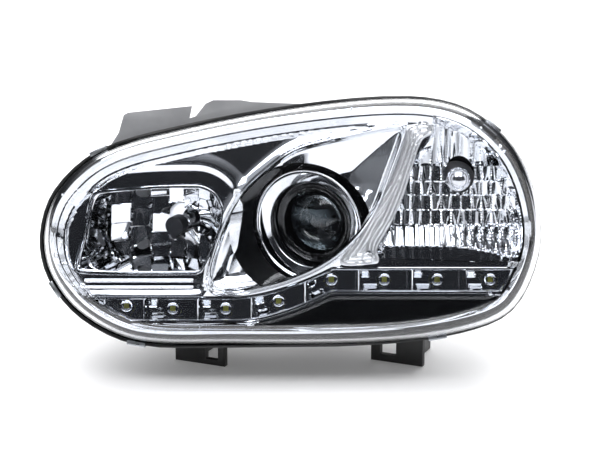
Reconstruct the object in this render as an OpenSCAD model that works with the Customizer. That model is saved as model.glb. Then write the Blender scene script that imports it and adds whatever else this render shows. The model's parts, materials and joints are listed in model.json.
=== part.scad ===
// Car headlight assembly for the left front corner of a compact hatchback.
// Millimetres. +X points to the lamp's outer end, +Y to the rear of the car, +Z up.
// The origin lies on the floor under the middle of the lamp's bounding box.
// Two frames are used: the car frame, in which beams, covers and adjusters point along Y,
// and the front frame, which is swept back and leans back with the face of the lamp.

/* [Front] */
// Width across the flange, along the swept face
front_w = 385; // [375:1:397]
// Height across the flange, along the leaning face
front_h = 193; // [189:1:199]
// Angle by which the outer end sweeps back
sweep = 24; // [23:0.5:25]
// Angle by which the top leans back
lean = 15; // [14:0.5:16]
// Height of the face's centre above the floor
stand_h = 126; // [122:1:134]

/* [Lens cover] */
// Wall of the clear cover
lens_wall = 3; // [2.4:0.1:3.2]
// Gap between the flange's edge and the cover's side wall
lens_inset = 2.5; // [2.2:0.1:2.8]
// Radius of the cover's rounded edge, across the face
lens_edge = 22; // [18:1:26]
// Depth of the cover's rounded edge
lens_edge_depth = 17; // [15:0.5:20]
// Rise of the dome inside the rounded edge
lens_dome = 8; // [6:0.5:12]
// Depth of the cover's straight side wall
lens_skirt = 14; // [12:0.5:15]
// Play between the cover's foot and the channel
channel_play = 0.4; // [0.3:0.1:0.6]
// Thickness of the seal under the cover's foot
lens_seal_t = 2; // [1.5:0.5:3]

/* [Housing] */
// Wall of the moulded housing
wall = 3; // [2.5:0.25:3.5]
// Width of the flange with its channel
flange_w = 9; // [8.5:0.5:10]
// How far the bowl stands in from the flange's edge
bowl_inset = 6; // [4:0.5:6]
// Depth of the bowl behind the face
bowl_depth = 53; // [51:1:56]
// Length of the low-beam box behind the projector's ring
low_box_l = 104; // [102:1:112]
// Depth of the high-beam box behind the aiming frame
high_box_l = 13.1; // [12:0.1:16]

/* [Clips] */
// Width of a lens clip
clip_w = 14; // [10:1:18]
// Sheet thickness of a lens clip
clip_t = 1; // [0.6:0.1:1.2]

/* [Bezel] */
// Sheet thickness of the bezel
bezel_t = 2.5; // [2:0.25:3]
// How far the bezel's rim stands in from the flange's edge
bezel_inset = 9.5; // [9:0.5:10.5]
// Depth of the projector recess
recess_depth = 14; // [10:0.5:15]
// Depth of the collar round the high-beam window
collar_depth = 12; // [8:0.5:13]
// Lip by which inserted pieces lap behind the bezel
lap = 1.4; // [1:0.1:1.5]
// Play round pieces that sit in the bezel
insert_play = 0.4; // [0.3:0.1:0.5]

/* [Low beam] */
// Radius of the projector lens
glass_r = 26; // [24:0.5:28]
// Outer radius of the black lens holder
holder_r = 33; // [32:0.5:34]
// Outer radius of the chrome ring round it
shroud_r = 45; // [42:0.5:46]
// Free travel left round the chrome ring
shroud_gap = 5; // [4.5:0.5:6]
// Radius of the projector's reflector bowl
bowl_r = 32; // [30:0.5:33]
// Length of the projector's reflector bowl
bowl_l = 50; // [46:1:51]

/* [High beam] */
// Focal length of the reflector
focus = 24; // [22:1:26]
// Half width of the reflector
reflector_half_w = 58; // [54:1:60]
// Height of the reflector above its axis
reflector_up = 38; // [36:1:40]
// Depth of the reflector below its axis
reflector_down = 36; // [34:1:40]
// Sheet thickness of the reflector
reflector_t = 2.5; // [2:0.25:3]

/* [Bulbs] */
// Radius of a beam bulb's glass capsule
capsule_r = 5.5; // [5:0.1:6]
// Radius of a beam bulb's flange
bulb_flange_r = 10; // [9:0.5:11]
// Wire radius of a bulb clip
wire_r = 0.8; // [0.6:0.1:0.9]
// Half width between the legs of a bulb clip
clip_half_w = 7.5; // [7:0.25:8.5]
// Length of a bulb clip's legs
clip_leg = 30; // [26:1:32]

/* [Daytime strip] */
// Height of the strip
strip_h = 20; // [18:0.5:21]
// Depth of its cells
cell_depth = 22; // [18:1:24]
// Spacing of its cells
cell_pitch = 41.1; // [40:0.1:42]
// Wall of the tray and its dividers
tray_wall = 1.6; // [1.2:0.1:2]
// Thickness of the circuit board
board_t = 1.6; // [1:0.1:2]
// Radius of a small LED optic
optic_r = 6; // [5:0.25:6.5]

/* [Indicator] */
// Depth of the indicator's reflector
indicator_depth = 21.5; // [18:0.5:22]
// Radius of the bulb's glass
indicator_glass_r = 9.5; // [9:0.25:11]
// Radius of the twist holder's spigot
spigot_r = 15; // [14:0.25:16]
// Running play of the spigot in the housing
spigot_play = 0.25; // [0.2:0.05:0.4]
// Thickness of the clear trim strip
trim_t = 3.5; // [3:0.25:4]

/* [Aiming] */
// Radius of the pivot ball
pivot_r = 6; // [5:0.25:7]
// Radius of the adjusters' balls
ball_r = 5; // [4.5:0.25:5.5]
// Play of a ball in its socket
ball_play = 0.5; // [0.4:0.05:0.6]
// Radius of the adjusters' shafts
shaft_r = 3; // [2.5:0.25:3.5]
// Running play of a shaft in its bore
shaft_play = 0.1; // [0.08:0.01:0.2]
// Distance from the pivot up to the levelling ball
level_arm = 86; // [84:1:88]
// Distance from the pivot across to the aiming ball
aim_arm = 96; // [94:1:98]
// Thickness of the aiming frame
frame_t = 4; // [3:0.5:5]

/* [Rear covers] */
// Radius of the low-beam opening
low_open_r = 41; // [40:0.5:42]
// Radius of the high-beam opening
high_open_r = 24; // [22:0.5:24.5]
// Running play of a cover in its opening
cover_play = 0.3; // [0.2:0.05:0.5]
// Inner depth of a rear cover
cover_depth = 27; // [27:1:30]
// Thickness of a cover's seal
cover_seal_t = 2; // [1.5:0.25:3]

/* [Brackets] */
// Width of a foot's front plate
foot_w = 44; // [40:1:48]
// Plate thickness of a foot
foot_t = 5; // [4:0.5:6]
// Length of the rib behind a foot's plate
foot_rib_l = 46; // [40:1:50]
// Plate thickness of the upper bracket
bracket_t = 3; // [2.5:0.25:4]
// Radius of the upper fixing hole
fixing_r = 3.4; // [3:0.1:4]
// Radius of the screw shanks
screw_r = 2; // [1.5:0.1:2.2]

/* [Hidden] */
$fn = 48;
// Middle of the bounding box, from the face's centre
mid_x = -7.336;
mid_y = 47.623;
steps = 4;

// Depths in the front frame
lens_edge_y = 2;
lens_foot_y = lens_edge_y + lens_skirt;
channel_y = lens_foot_y + lens_seal_t;
flange_front_y = channel_y - 12;
flange_back_y = channel_y + 4;
bezel_y = 6;
bezel_back_y = bezel_y + bezel_t;
bezel_rim_y = -4;
recess_y = bezel_y + recess_depth;
tray_y = 5;
tray_floor_y = tray_y + cell_depth;
board_y = tray_floor_y + tray_wall;
infill_y = 5.5;
indicator_back_y = bezel_back_y + indicator_depth;

// Half sizes of the face and its outline as shares of them, clockwise from the inner end
half_w = front_w / 2;
half_h = front_h / 2;
face_shape = [
    [-0.999, -0.113], [-0.942, 0.251], [-0.767, 0.568], [-0.458, 0.758], [0.038, 0.937], [0.475, 1],
    [0.713, 0.897], [0.892, 0.592], [0.983, 0.172], [0.991, -0.263], [0.884, -0.707], [0.673, -0.889],
    [0.324, -0.98], [-0.239, -1], [-0.616, -0.976], [-0.835, -0.77], [-0.965, -0.453]
];

// Openings of the bezel in the front frame, clockwise
leaf_shape = [
    [-63, -46], [-54, -12], [-38, 20], [-18, 40], [5, 55.5], [45, 66], [80, 73], [87, 71], [84, 60], [76, 38],
    [66, 12], [54, -7], [40, -22], [28, -31], [14, -38.5], [-4, -45.5], [-22, -50.5], [-42, -54], [-58, -53]
];
window_shape = [
    [-164, -36], [-158, -10], [-152, 19], [-146, 23], [-72, 27], [-58, 21], [-52, 6], [-58, -16],
    [-68, -37], [-74, -39.5], [-156, -39]
];
indicator_shape = [
    [70, -27], [79, 0], [91, 26], [107, 60], [112, 92], [150, 115], [215, 70], [220, -10], [200, -29],
    [76, -29]
];
trim_shape = [
    [38, -31.5], [57, -8], [70, 12], [80, 36], [88, 58], [94, 75], [103, 79], [110, 74], [100, 62],
    [89, 26], [78, 0], [69, -22], [66, -31]
];
chamber_inset = 13;
trim_screw_at = [[101.5, 71.5], [60.2, -25]];

// Slopes and lengths that run a smooth curve through the points of a closed outline
function turn(p, i) = p[(i + len(p)) % len(p)];
function span(p, i) = norm(turn(p, i + 1) - turn(p, i));
function slope(p, i) = (turn(p, i + 1) - turn(p, i - 1)) / (span(p, i - 1) + span(p, i));
function curve_at(p, i, t) =
    (2 * t * t * t - 3 * t * t + 1) * turn(p, i)
    + (t * t * t - 2 * t * t + t) * span(p, i) * slope(p, i)
    + (3 * t * t - 2 * t * t * t) * turn(p, i + 1)
    + (t * t * t - t * t) * span(p, i) * slope(p, i + 1);
function smooth(p) = [for (i = [0:len(p) - 1], s = [0:steps - 1]) curve_at(p, i, s / steps)];
function outward(q, i) = let (d = turn(q, i + 1) - turn(q, i - 1)) [-d.y, d.x] / norm(d);
function grown(q, d) = [for (i = [0:len(q) - 1]) q[i] + d * outward(q, i)];

face = smooth([for (p = face_shape) [p.x * half_w, p.y * half_h]]);

// Middle line of the daytime strip and its cells
strip_left_z = -67.3;
strip_right_z = -44.8;
strip_rise = [-42, 32];
strip_inset = 15;
strip_gap = 3.2;
infill_end_x = -6;
first_divider = -112;
strip_xs = [-165, -120, -80, -42, -30, -18, -6, 6, 14, 20, 26, 32, 60, 100, 140, 180];
function rise_share(x) = min(1, max(0, (x - strip_rise[0]) / (strip_rise[1] - strip_rise[0])));
function strip_mid(x) = strip_left_z + (strip_right_z - strip_left_z) * pow(rise_share(x), 1.65);
first_led_shift = [5, 2];
led_at = [
    for (k = [0:7])
        let (x = first_divider + (k - 0.5) * cell_pitch)
            [x, strip_mid(x)] + (k == 0 ? first_led_shift : [0, 0])
];

// Points and directions of the front frame seen in the car frame
function leaned(p) = [p.x, p.y * cos(lean) + p.z * sin(lean), p.z * cos(lean) - p.y * sin(lean)];
function swept(p) = [p.x * cos(sweep) - p.y * sin(sweep), p.x * sin(sweep) + p.y * cos(sweep), p.z];
function in_car(p) = swept(leaned(p));

// Low beam: centre of the chrome ring's front edge, then depths behind it
low = in_car([13.4, 30, -3.5]);
low_axis = [low.x, low.z];
holder_front_y = low.y + 11.5;
glass_back_y = low.y + 31.5;
holder_back_y = low.y + 39.5;
bowl_front_y = holder_back_y + 3;
frame_y = bowl_front_y;
frame_back_y = frame_y + frame_t;
bowl_end_y = bowl_front_y + bowl_l;
low_seat_y = bowl_end_y + 1.5;
low_back_y = low.y + low_box_l;
flange_r = holder_r + 11.5;
ear_ring = flange_r - 4;

// High beam: centre of the window, then depths behind it
high = in_car([-104, 12, -11]);
high_axis = [high.x, high.z];
vertex_y = high.y + 62;
high_seat_y = vertex_y + 4;
high_back_y = frame_back_y + high_box_l;
reflector_cut_y = recess_y + 8;

// The three aiming points, as x and z, and their depth
ball_y = frame_back_y + 12;
pivot_at = [low.x - 51, low.z - 41];
level_at = pivot_at + [0, level_arm];
aim_at = pivot_at + [aim_arm, 0];

// Rear boxes of the housing: least x, most x, least z, most z, corner radius
high_box = [high.x - 74, high.x + 50, high.z - 58, high.z + 52, 36];
low_box = [low.x - 68, low.x + 68, low.z - 59, low.z + 67, 14];

// Indicator axis and depths in the front frame
indicator_at = [130, 33];
holder_y = bowl_depth;
bulb_front_y = 20;
bulb_base_y = 38;
bulb_base_r = 7.8;

// Fixings in the front frame
bezel_screw_at = [[-170, 8], [-60, 66], [40, 80]];
upper_screw_at = [[-108, 72], [-44, 86]];
bracket_y = 40;
// Plastic left in front of the bracket's screws
screw_cover = 1;
left_foot_at = [-72.5, 34];
right_foot_at = [84.5, 34];
foot_pad_z = -77;
clip_at = [8, 26, 45, 56, 63];
socket_at = [low.x + 47, low.z + 47];
vent_at = [high.x - 38, high.z - 42];

black = [0.1, 0.1, 0.11];
grey = [0.45, 0.46, 0.47];
chrome = [0.85, 0.86, 0.88];
steel = [0.6, 0.62, 0.65];
clear = [0.9, 0.95, 1, 0.35];
white = [0.9, 0.9, 0.88];
rubber = [0.15, 0.15, 0.15];

// Shared building blocks
module car() translate([-mid_x, -mid_y, stand_h]) children();
module front() car() rotate([-lean, 0, sweep]) children();

// A flat shape in x and z drawn out from y0 to y1
module slab(y0, y1) translate([0, y1, 0]) rotate([90, 0, 0]) linear_extrude(y1 - y0) children();
module rod(at, y0, y1, r) translate([at[0], y1, at[1]]) rotate([90, 0, 0]) cylinder(h = y1 - y0, r = r);
module tube(at, y0, y1, r, bore) difference() {
    rod(at, y0, y1, r);
    rod(at, y0 - 1, y1 + 1, bore);
}
function about(middle, less, more) = [middle + less, middle + more];
module ball(at, y, r) translate([at[0], y, at[1]]) sphere(r = r);

// A profile of radius and depth turned round an axis along Y
module turned(at, profile) translate([at[0], 0, at[1]]) rotate([-90, 0, 0]) rotate_extrude() polygon(profile);
module block(x, y, z) translate([x[0], y[0], z[0]]) cube([x[1] - x[0], y[1] - y[0], z[1] - z[0]]);

// A screw along Y with its head towards the front or, turned, towards the rear
module screw(at, head_y, tip_y, r) {
    way = tip_y > head_y ? 1 : -1;
    under = head_y + way * r;
    rod(at, min(head_y, under), max(head_y, under), r * 2);
    rod(at, min(under, tip_y), max(under, tip_y), r);
}

module rim_2d(inset) polygon(grown(face, -inset));
module leaf_2d(more) polygon(smooth(grown(leaf_shape, more)));
module window_2d(more) polygon(smooth(grown(window_shape, more)));
module indicator_2d(more) intersection() {
    polygon(smooth(grown(indicator_shape, more)));
    rim_2d(chamber_inset - more);
}
module strip_2d(more) intersection() {
    polygon(concat(
        [for (x = strip_xs) [x, strip_mid(x) + strip_h / 2 + more]],
        [for (i = [len(strip_xs) - 1:-1:0]) [strip_xs[i], strip_mid(strip_xs[i]) - strip_h / 2 - more]]
    ));
    rim_2d(strip_inset - more);
}
module infill_2d(more) intersection() {
    polygon(concat(
        [for (x = strip_xs) if (x >= infill_end_x) [x, strip_mid(x) - strip_h / 2 - strip_gap + more]],
        [[strip_xs[len(strip_xs) - 1], -half_h], [infill_end_x - more, -half_h]]
    ));
    rim_2d(strip_inset - more);
}
corner_steps = 10;
function corner_at(b, x, z) = [b[x] + (x == 0 ? b[4] : -b[4]), b[z] + (z == 2 ? b[4] : -b[4])];
module rounded_2d(b, less) polygon([
    for (c = [[1, 3, 0], [0, 3, 90], [0, 2, 180], [1, 2, 270]], k = [0:corner_steps])
        let (a = c[2] + 90 * k / corner_steps) corner_at(b, c[0], c[1]) + (b[4] - less) * [cos(a), sin(a)]
]);

// Everything of the housing's boxes that lies behind a plane of the front frame
module rear_boxes(less, from_y) intersection() {
    union() {
        slab(-90, high_back_y - less) rounded_2d(high_box, less);
        slab(-90, low_back_y - less) rounded_2d(low_box, less);
    }
    rotate([-lean, 0, sweep]) block([-300, 300], [from_y, 400], [-300, 300]);
}
module bowl_solid() rotate([-lean, 0, sweep]) slab(flange_front_y, bowl_depth) rim_2d(bowl_inset);

// Bayonet cover geometry shared by cover, seal and housing
lug_h = 3.4;
lug_out = 2.2;
lug_half_angle = 8;
cover_twist = 30;
ring_l = 12;
ring_wall = 6;
module wedge(y0, y1, r, a0, a1) translate([0, y1, 0]) rotate([90, 0, 0]) linear_extrude(y1 - y0)
    polygon(concat([[0, 0]], [for (k = [0:4]) let (a = a0 + (a1 - a0) * k / 4) r * [cos(a), sin(a)]]));
module sector(at, y0, y1, r, bore, a0, a1) translate([at[0], 0, at[1]]) intersection() {
    tube([0, 0], y0, y1, r, bore);
    wedge(y0 - 1, y1 + 1, r * 1.2, a0, a1);
}
module cover_ring(at, y, r) rod(at, y - wall, y + ring_l, r + ring_wall);
module cover_bore(at, y, r) {
    rod(at, y - wall - 20, y + ring_l + 1, r);
    groove = lug_h + 2 * cover_play;
    rod(at, y + 4 - cover_play, y + 4 - cover_play + groove, r + lug_out + cover_play);
    for (k = [0:2]) sector(
        at, y + 4, y + ring_l + 1, r + lug_out + cover_play, r - 3,
        k * 120 + cover_twist - lug_half_angle - 2, k * 120 + cover_twist + lug_half_angle + 2
    );
}
module cover_cap(at, y, r) {
    lip = r - cover_play;
    disc_y = y + ring_l + 0.1 + cover_seal_t;
    end_y = y + cover_depth + wall;
    tube(at, y + 1, disc_y, lip, lip - wall);
    difference() {
        union() {
            rod(at, disc_y, disc_y + wall, r + ring_wall);
            rod(at, disc_y, end_y, lip);
            block([at[0] - 0.8 * r, at[0] + 0.8 * r], [end_y, end_y + 6], [at[1] - 4, at[1] + 4]);
        }
        rod(at, disc_y - 1, end_y - wall, lip - wall);
    }
    for (k = [0:2]) sector(
        at, y + 4, y + 4 + lug_h, r + lug_out, lip - 1, k * 120 - lug_half_angle, k * 120 + lug_half_angle
    );
}
module cover_ring_seal(at, y, r)
    tube(at, y + ring_l + 0.1, y + ring_l + 0.1 + cover_seal_t, r + 4, r - cover_play);

// Wire clip of a bulb, and the ears it turns in; its axis lies along X
function wire_y(seat) = seat + 1.5 + wire_r + 0.1;
ear_at = clip_half_w + 2;
clip_low = 16;
module cross_rod(x0, x1, y, z, r) translate([x0, y, z]) rotate([0, 90, 0]) cylinder(h = x1 - x0, r = r);
module bulb_clip(at, seat) {
    y = wire_y(seat);
    z = at[1] - clip_low;
    cross_rod(at[0] - ear_at - 3.5, at[0] + ear_at + 3.5, y, z, wire_r);
    cross_rod(at[0] - clip_half_w, at[0] + clip_half_w, y, z + clip_leg, wire_r);
    for (s = [-1, 1]) {
        translate([at[0] + s * clip_half_w, y, z]) cylinder(h = clip_leg, r = wire_r);
        translate([at[0] + s * clip_half_w, y, z + clip_leg]) sphere(r = wire_r);
    }
}
module clip_ears(at, seat) difference() {
    y = wire_y(seat);
    z = at[1] - clip_low;
    for (s = [-1, 1])
        block(about(at[0] + s * (ear_at + 1.25), -1.25, 1.25), [seat - 4, y + 2.2], [z - 2.6, z + 2.6]);
    cross_rod(at[0] - 30, at[0] + 30, y, z, wire_r + 0.15);
}
module bulb_capsule(at, seat, l) {
    rod(at, seat - l + capsule_r, seat, capsule_r);
    ball(at, seat - l + capsule_r, capsule_r);
}
module bulb_base(at, seat) {
    rod(at, seat, seat + 1.5, bulb_flange_r);
    rod(at, seat + 1.5, seat + 13, capsule_r + 0.3);
    block(about(at[0], -3.15, 3.15), [seat + 13, seat + 20], about(at[1], -0.4, 0.4));
}

// Cup that holds a ball, open to the rear; its rim goes past the ball's middle by the given angle
module ball_socket(at, y, r, past) turned(at, concat(
    [[0, frame_back_y], [r + 4, frame_back_y], [r + 4, y + (r + ball_play) * sin(past)]],
    [for (a = [past:-(past + 90) / 9:-90]) [(r + ball_play) * cos(a), y + (r + ball_play) * sin(a)]]
));

// Closed rings of a shell, joined into one body: first the outer rings, then the inner
function ring(inset, y) = [for (p = grown(face, -inset)) [p.x, y, p.y]];
function shrunk(q, s, y) = [for (p = q) [p.x * s, y, p.z * s]];
edge_turns = [0, 20, 40, 58, 74];
dome_steps = [0.78, 0.5, 0.22];
function lens_rings(inset, deep, edge) = let (
    edge_rings = [
        for (a = edge_turns)
            ring(inset + edge * (1 - cos(a)), lens_edge_y + (a == 0 ? 0 : deep) - lens_edge_depth * sin(a))
    ],
    last = edge_rings[len(edge_rings) - 1],
    y = last[0].y
) concat(
    [ring(inset, lens_foot_y)], edge_rings,
    [for (s = dome_steps) shrunk(last, s, y - lens_dome * (1 - s * s))]
);
module lens_shell() {
    outer = lens_rings(lens_inset, 0, lens_edge);
    inner = lens_rings(lens_inset + lens_wall, lens_wall, lens_edge - lens_wall);
    n = len(face);
    m = len(outer);
    outer_tip = [0, outer[m - 1][0].y - lens_dome * 0.05, 0];
    inner_tip = [0, inner[m - 1][0].y - lens_dome * 0.05, 0];
    points = concat([for (r = outer, p = r) p], [for (r = inner, p = r) p], [outer_tip, inner_tip]);
    base = m * n;
    tips = 2 * m * n;
    polyhedron(points, concat(
        [for (j = [0:m - 2], i = [0:n - 1]) let (k = (i + 1) % n)
            [j * n + i, (j + 1) * n + i, (j + 1) * n + k]],
        [for (j = [0:m - 2], i = [0:n - 1]) let (k = (i + 1) % n)
            [j * n + i, (j + 1) * n + k, j * n + k]],
        [for (j = [0:m - 2], i = [0:n - 1]) let (k = (i + 1) % n)
            [base + j * n + i, base + (j + 1) * n + k, base + (j + 1) * n + i]],
        [for (j = [0:m - 2], i = [0:n - 1]) let (k = (i + 1) % n)
            [base + j * n + i, base + j * n + k, base + (j + 1) * n + k]],
        [for (i = [0:n - 1]) [(m - 1) * n + i, tips, (m - 1) * n + (i + 1) % n]],
        [for (i = [0:n - 1]) [base + (m - 1) * n + i, base + (m - 1) * n + (i + 1) % n, tips + 1]],
        [for (i = [0:n - 1]) let (k = (i + 1) % n) [i, k, base + k]],
        [for (i = [0:n - 1]) let (k = (i + 1) % n) [i, base + k, base + i]]
    ));
}

// Housing and what closes it
module housing() color(black) car() difference() {
    union() {
        rotate([-lean, 0, sweep]) {
            slab(flange_front_y, flange_back_y) rim_2d(0);
            slab(bracket_y + bracket_t, bowl_depth)
                for (p = upper_screw_at) translate([p.x - 7, p.y - 24]) square([14, 28]);
        }
        bowl_solid();
        rear_boxes(0, bowl_depth - 8);
        cover_ring(low_axis, low_back_y, low_open_r);
        cover_ring(high_axis, high_back_y, high_open_r);
    }
    rotate([-lean, 0, sweep]) {
        slab(flange_front_y - 1, bowl_depth - wall) rim_2d(flange_w);
        slab(flange_front_y - 1, channel_y) difference() {
            rim_2d(lens_inset - channel_play);
            rim_2d(lens_inset + lens_wall + channel_play);
        }
        rod(indicator_at, bowl_depth - 10, bowl_depth + 1, spigot_r + spigot_play);
        for (p = bezel_screw_at) rod(p, bowl_depth - 10, bowl_depth + 1, screw_r);
        for (p = upper_screw_at) rod(p, 30, bowl_depth + 1, screw_r);
        for (p = [left_foot_at, right_foot_at])
            rod([p.x, foot_pad_z], bowl_depth - 10, bowl_depth + 10, screw_r);
    }
    rear_boxes(wall, bowl_depth - 12);
    cover_bore(low_axis, low_back_y, low_open_r);
    cover_bore(high_axis, high_back_y, high_open_r);
    rod(level_at, low_back_y - 20, low_back_y + 1, snout_r);
    rod(aim_at, low_back_y - 20, low_back_y + 1, shaft_r + shaft_play);
    rod(vent_at, high_back_y - 20, high_back_y + 1, 5);
    for (p = motor_screw_at) rod(p, low_back_y - 20, low_back_y + 1, screw_r);
    slab(low_back_y - 20, low_back_y + 1) translate(socket_at - [8, 4]) square([16, 8]);
}
module lens_cover() color(clear) front() lens_shell();
module lens_seal() color(rubber) front() slab(lens_foot_y, channel_y) difference() {
    rim_2d(lens_inset - channel_play);
    rim_2d(lens_inset + lens_wall + channel_play);
}
module lens_clips() color(steel) front() for (i = clip_at) let (n = outward(face, i))
    translate([face[i].x, 0, face[i].y]) rotate([0, atan2(n.x, n.y), 0]) {
        x = [-clip_w / 2, clip_w / 2];
        block(x, [flange_front_y - clip_t - 0.1, flange_back_y + clip_t + 0.1], [0.1, 0.1 + clip_t]);
        block(x, [flange_front_y - clip_t - 0.1, flange_front_y - 0.1], [0.3 - lens_inset, 0.1 + clip_t]);
        block(x, [flange_back_y + 0.1, flange_back_y + clip_t + 0.1], [-3, 0.1 + clip_t]);
    }

// Bezel and what sits in it
module bezel() color(chrome) car() difference() {
    rotate([-lean, 0, sweep]) difference() {
        union() {
            slab(bezel_rim_y, bezel_back_y) rim_2d(bezel_inset);
            slab(bezel_y + 0.5, recess_y + bezel_t) leaf_2d(0);
            slab(bezel_y + 0.5, bezel_y + collar_depth) window_2d(bezel_t);
            for (p = bezel_screw_at) rod(p, bezel_y + 0.5, bowl_depth - wall, 3.5);
        }
        slab(bezel_rim_y - 1, bezel_y) rim_2d(bezel_inset + bezel_t);
        slab(bezel_rim_y, recess_y) leaf_2d(-bezel_t);
        slab(bezel_rim_y, bezel_y + collar_depth + 1) window_2d(0);
        slab(bezel_rim_y, bezel_back_y + 1) strip_2d(insert_play);
        slab(bezel_back_y, recess_y + bezel_t + 1) strip_2d(lap + insert_play);
        slab(bezel_rim_y, bezel_back_y + 1) infill_2d(insert_play);
        slab(bezel_rim_y, bezel_back_y + 1) indicator_2d(-0.5);
        for (p = trim_screw_at) rod(p, bezel_rim_y, bezel_back_y + 1, screw_r * 0.75);
        for (p = bezel_screw_at) rod(p, bezel_back_y + 10, bowl_depth, screw_r);
    }
    intersection() {
        rod(low_axis, -60, 120, shroud_r + shroud_gap);
        rotate([-lean, 0, sweep]) block([-300, 300], [bezel_back_y, 300], [-300, 300]);
    }
}
module louvres() color(chrome) front() for (z = louvre_z)
    slab(bezel_y - 3, bezel_y) translate([-158, z]) square([84, 3]);
louvre_z = [-46.5, -51.8];
module bezel_screws() color(steel) front() for (p = bezel_screw_at)
    screw(p, bowl_depth + screw_r, bezel_back_y + 14, screw_r);
module infill_panel() color(black) front() {
    slab(infill_y, bezel_back_y) infill_2d(0);
    slab(bezel_back_y, bezel_back_y + 2) infill_2d(lap);
}
module led_tray() color(chrome) front() difference() {
    union() {
        slab(tray_y, board_y) strip_2d(0);
        slab(bezel_back_y, bezel_back_y + 2) strip_2d(lap);
    }
    slab(tray_y - 1, tray_floor_y) difference() {
        strip_2d(-tray_wall);
        for (k = [0:6])
            translate([first_divider + k * cell_pitch - tray_wall / 2, -half_h]) square([tray_wall, front_h]);
    }
    for (p = led_at) rod(p, tray_y, board_y + 1, optic_r - 1.5);
}
module led_board() color([0.1, 0.35, 0.2]) front() slab(board_y, board_y + board_t) strip_2d(-tray_wall);
module led_chips() color([0.95, 0.85, 0.45]) front() for (p = led_at)
    block(about(p.x, -1.75, 1.75), [board_y - 1.2, board_y], about(p.y, -1.75, 1.75));
module led_resistors() color([0.12, 0.12, 0.12]) front() for (p = led_at)
    block(about(p.x, 3.5, 7), [board_y + board_t, board_y + board_t + 1.2], about(p.y, -1, 1));
module led_optics() color(clear) front() for (p = led_at) difference() {
    intersection() {
        rod(p, tray_floor_y - optic_r, tray_floor_y, optic_r);
        ball(p, tray_floor_y + optic_r * 0.25, optic_r * 1.03);
    }
    rod(p, tray_floor_y - 1.5, tray_floor_y + 1, optic_r - 2);
}
module indicator_reflector() color(chrome) front() {
    floor_y = indicator_back_y - 2;
    difference() {
        union() {
            slab(bezel_back_y, bezel_back_y + 2) indicator_2d(lap);
            slab(bezel_back_y + 1, indicator_back_y) indicator_2d(0);
        }
        slab(bezel_back_y - 1, floor_y) indicator_2d(-2);
        rod(indicator_at, bezel_back_y, indicator_back_y + 1, indicator_glass_r + 3.5);
    }
    for (z = step_z) block([92, 166], [floor_y - 3, floor_y + 0.5], [z - 1, z + 1]);
    for (k = [0:flutes - 1])
        translate([84 + k * flute_pitch, floor_y + 1, -26]) cylinder(h = 20, r = flute_pitch * 0.4);
}
step_z = [18, 9, 0];
flutes = 10;
flute_pitch = 9;
module trim_strip() color(clear) front() difference() {
    slab(bezel_y - trim_t, bezel_y) polygon(smooth(trim_shape));
    for (p = trim_screw_at) rod(p, -20, 20, screw_r * 0.75);
}
module trim_screws() color(steel) front() for (p = trim_screw_at)
    screw(p, bezel_y - trim_t - screw_r * 0.75, bezel_back_y + 3, screw_r * 0.75);

// Indicator bulb in its twist holder
module indicator_bulb() color([0.8, 0.8, 0.82]) front() {
    rod(indicator_at, bulb_front_y, bulb_base_y, indicator_glass_r);
    ball(indicator_at, bulb_front_y, indicator_glass_r);
}
module indicator_bulb_base() color(steel) front()
    rod(indicator_at, bulb_base_y, holder_y - wall, bulb_base_r);
module indicator_holder() color(grey) front() {
    tube(indicator_at, bulb_base_y + 4, holder_y - wall, spigot_r, bulb_base_r);
    rod(indicator_at, holder_y - wall, holder_y + holder_seal_t, spigot_r);
    rod(indicator_at, holder_y + holder_seal_t, holder_y + 5, spigot_r + 5);
    block(about(indicator_at[0], -14, 14), [holder_y + 5, holder_y + 13], about(indicator_at[1], -3, 3));
}
holder_seal_t = 1.6;
module indicator_seal() color(rubber) front()
    tube(indicator_at, holder_y + 0.1, holder_y + holder_seal_t, spigot_r + 4, spigot_r);

// Low-beam projector
module projector_shroud() color(chrome) car() difference() {
    turned(low_axis, [
        [shroud_r, low.y], [shroud_r, low.y + 4], [holder_r + 4, low.y + 13], [holder_r + 2, low.y + 16],
        [holder_r, low.y + 16], [holder_r, low.y + 13.5], [holder_r + 2.5, low.y + 11],
        [shroud_r - 2, low.y + 2.5], [shroud_r - 2, low.y]
    ]);
    rotate([-lean, 0, sweep]) slab(tray_y - 20, board_y + board_t + shroud_gap) strip_2d(shroud_gap);
}
module lens_holder() color(black) car() difference() {
    union() {
        rod(low_axis, holder_front_y, holder_back_y, holder_r);
        rod(low_axis, holder_back_y - 4, holder_back_y, flange_r);
    }
    rod(low_axis, holder_front_y - 1, holder_front_y + 4, glass_r - 0.5);
    rod(low_axis, holder_front_y + 3, glass_back_y, glass_r + 0.2);
    rod(low_axis, glass_back_y - 1, holder_back_y + 1, glass_r - 1.5);
    rod(low_axis, holder_back_y - 2, holder_back_y + 1, bowl_r - 1);
    for (p = projector_screw_at) rod(p, low.y, low.y + 60, screw_r);
}
module projector_lens() color([0.7, 0.8, 0.85, 0.6]) car() intersection() {
    rod(low_axis, low.y, glass_back_y, glass_r);
    ball(low_axis, glass_back_y + 13, glass_r * 1.24);
}
module cutoff_shield() color(steel) car() difference() {
    rod(low_axis, holder_back_y - 2, holder_back_y - 0.5, bowl_r - 1.2);
    block([low.x - 50, low.x], [low.y, low.y + 80], [low.z + 1.5, low.z + 50]);
    block([low.x - 0.1, low.x + 50], [low.y, low.y + 80], [low.z - 0.5, low.z + 50]);
}
bowl_turns = [0:10:80];
function bowl_profile(more) = [
    for (a = bowl_turns) [(bowl_r + more) * cos(a), bowl_front_y + (bowl_l + more) * sin(a)]
];
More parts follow.
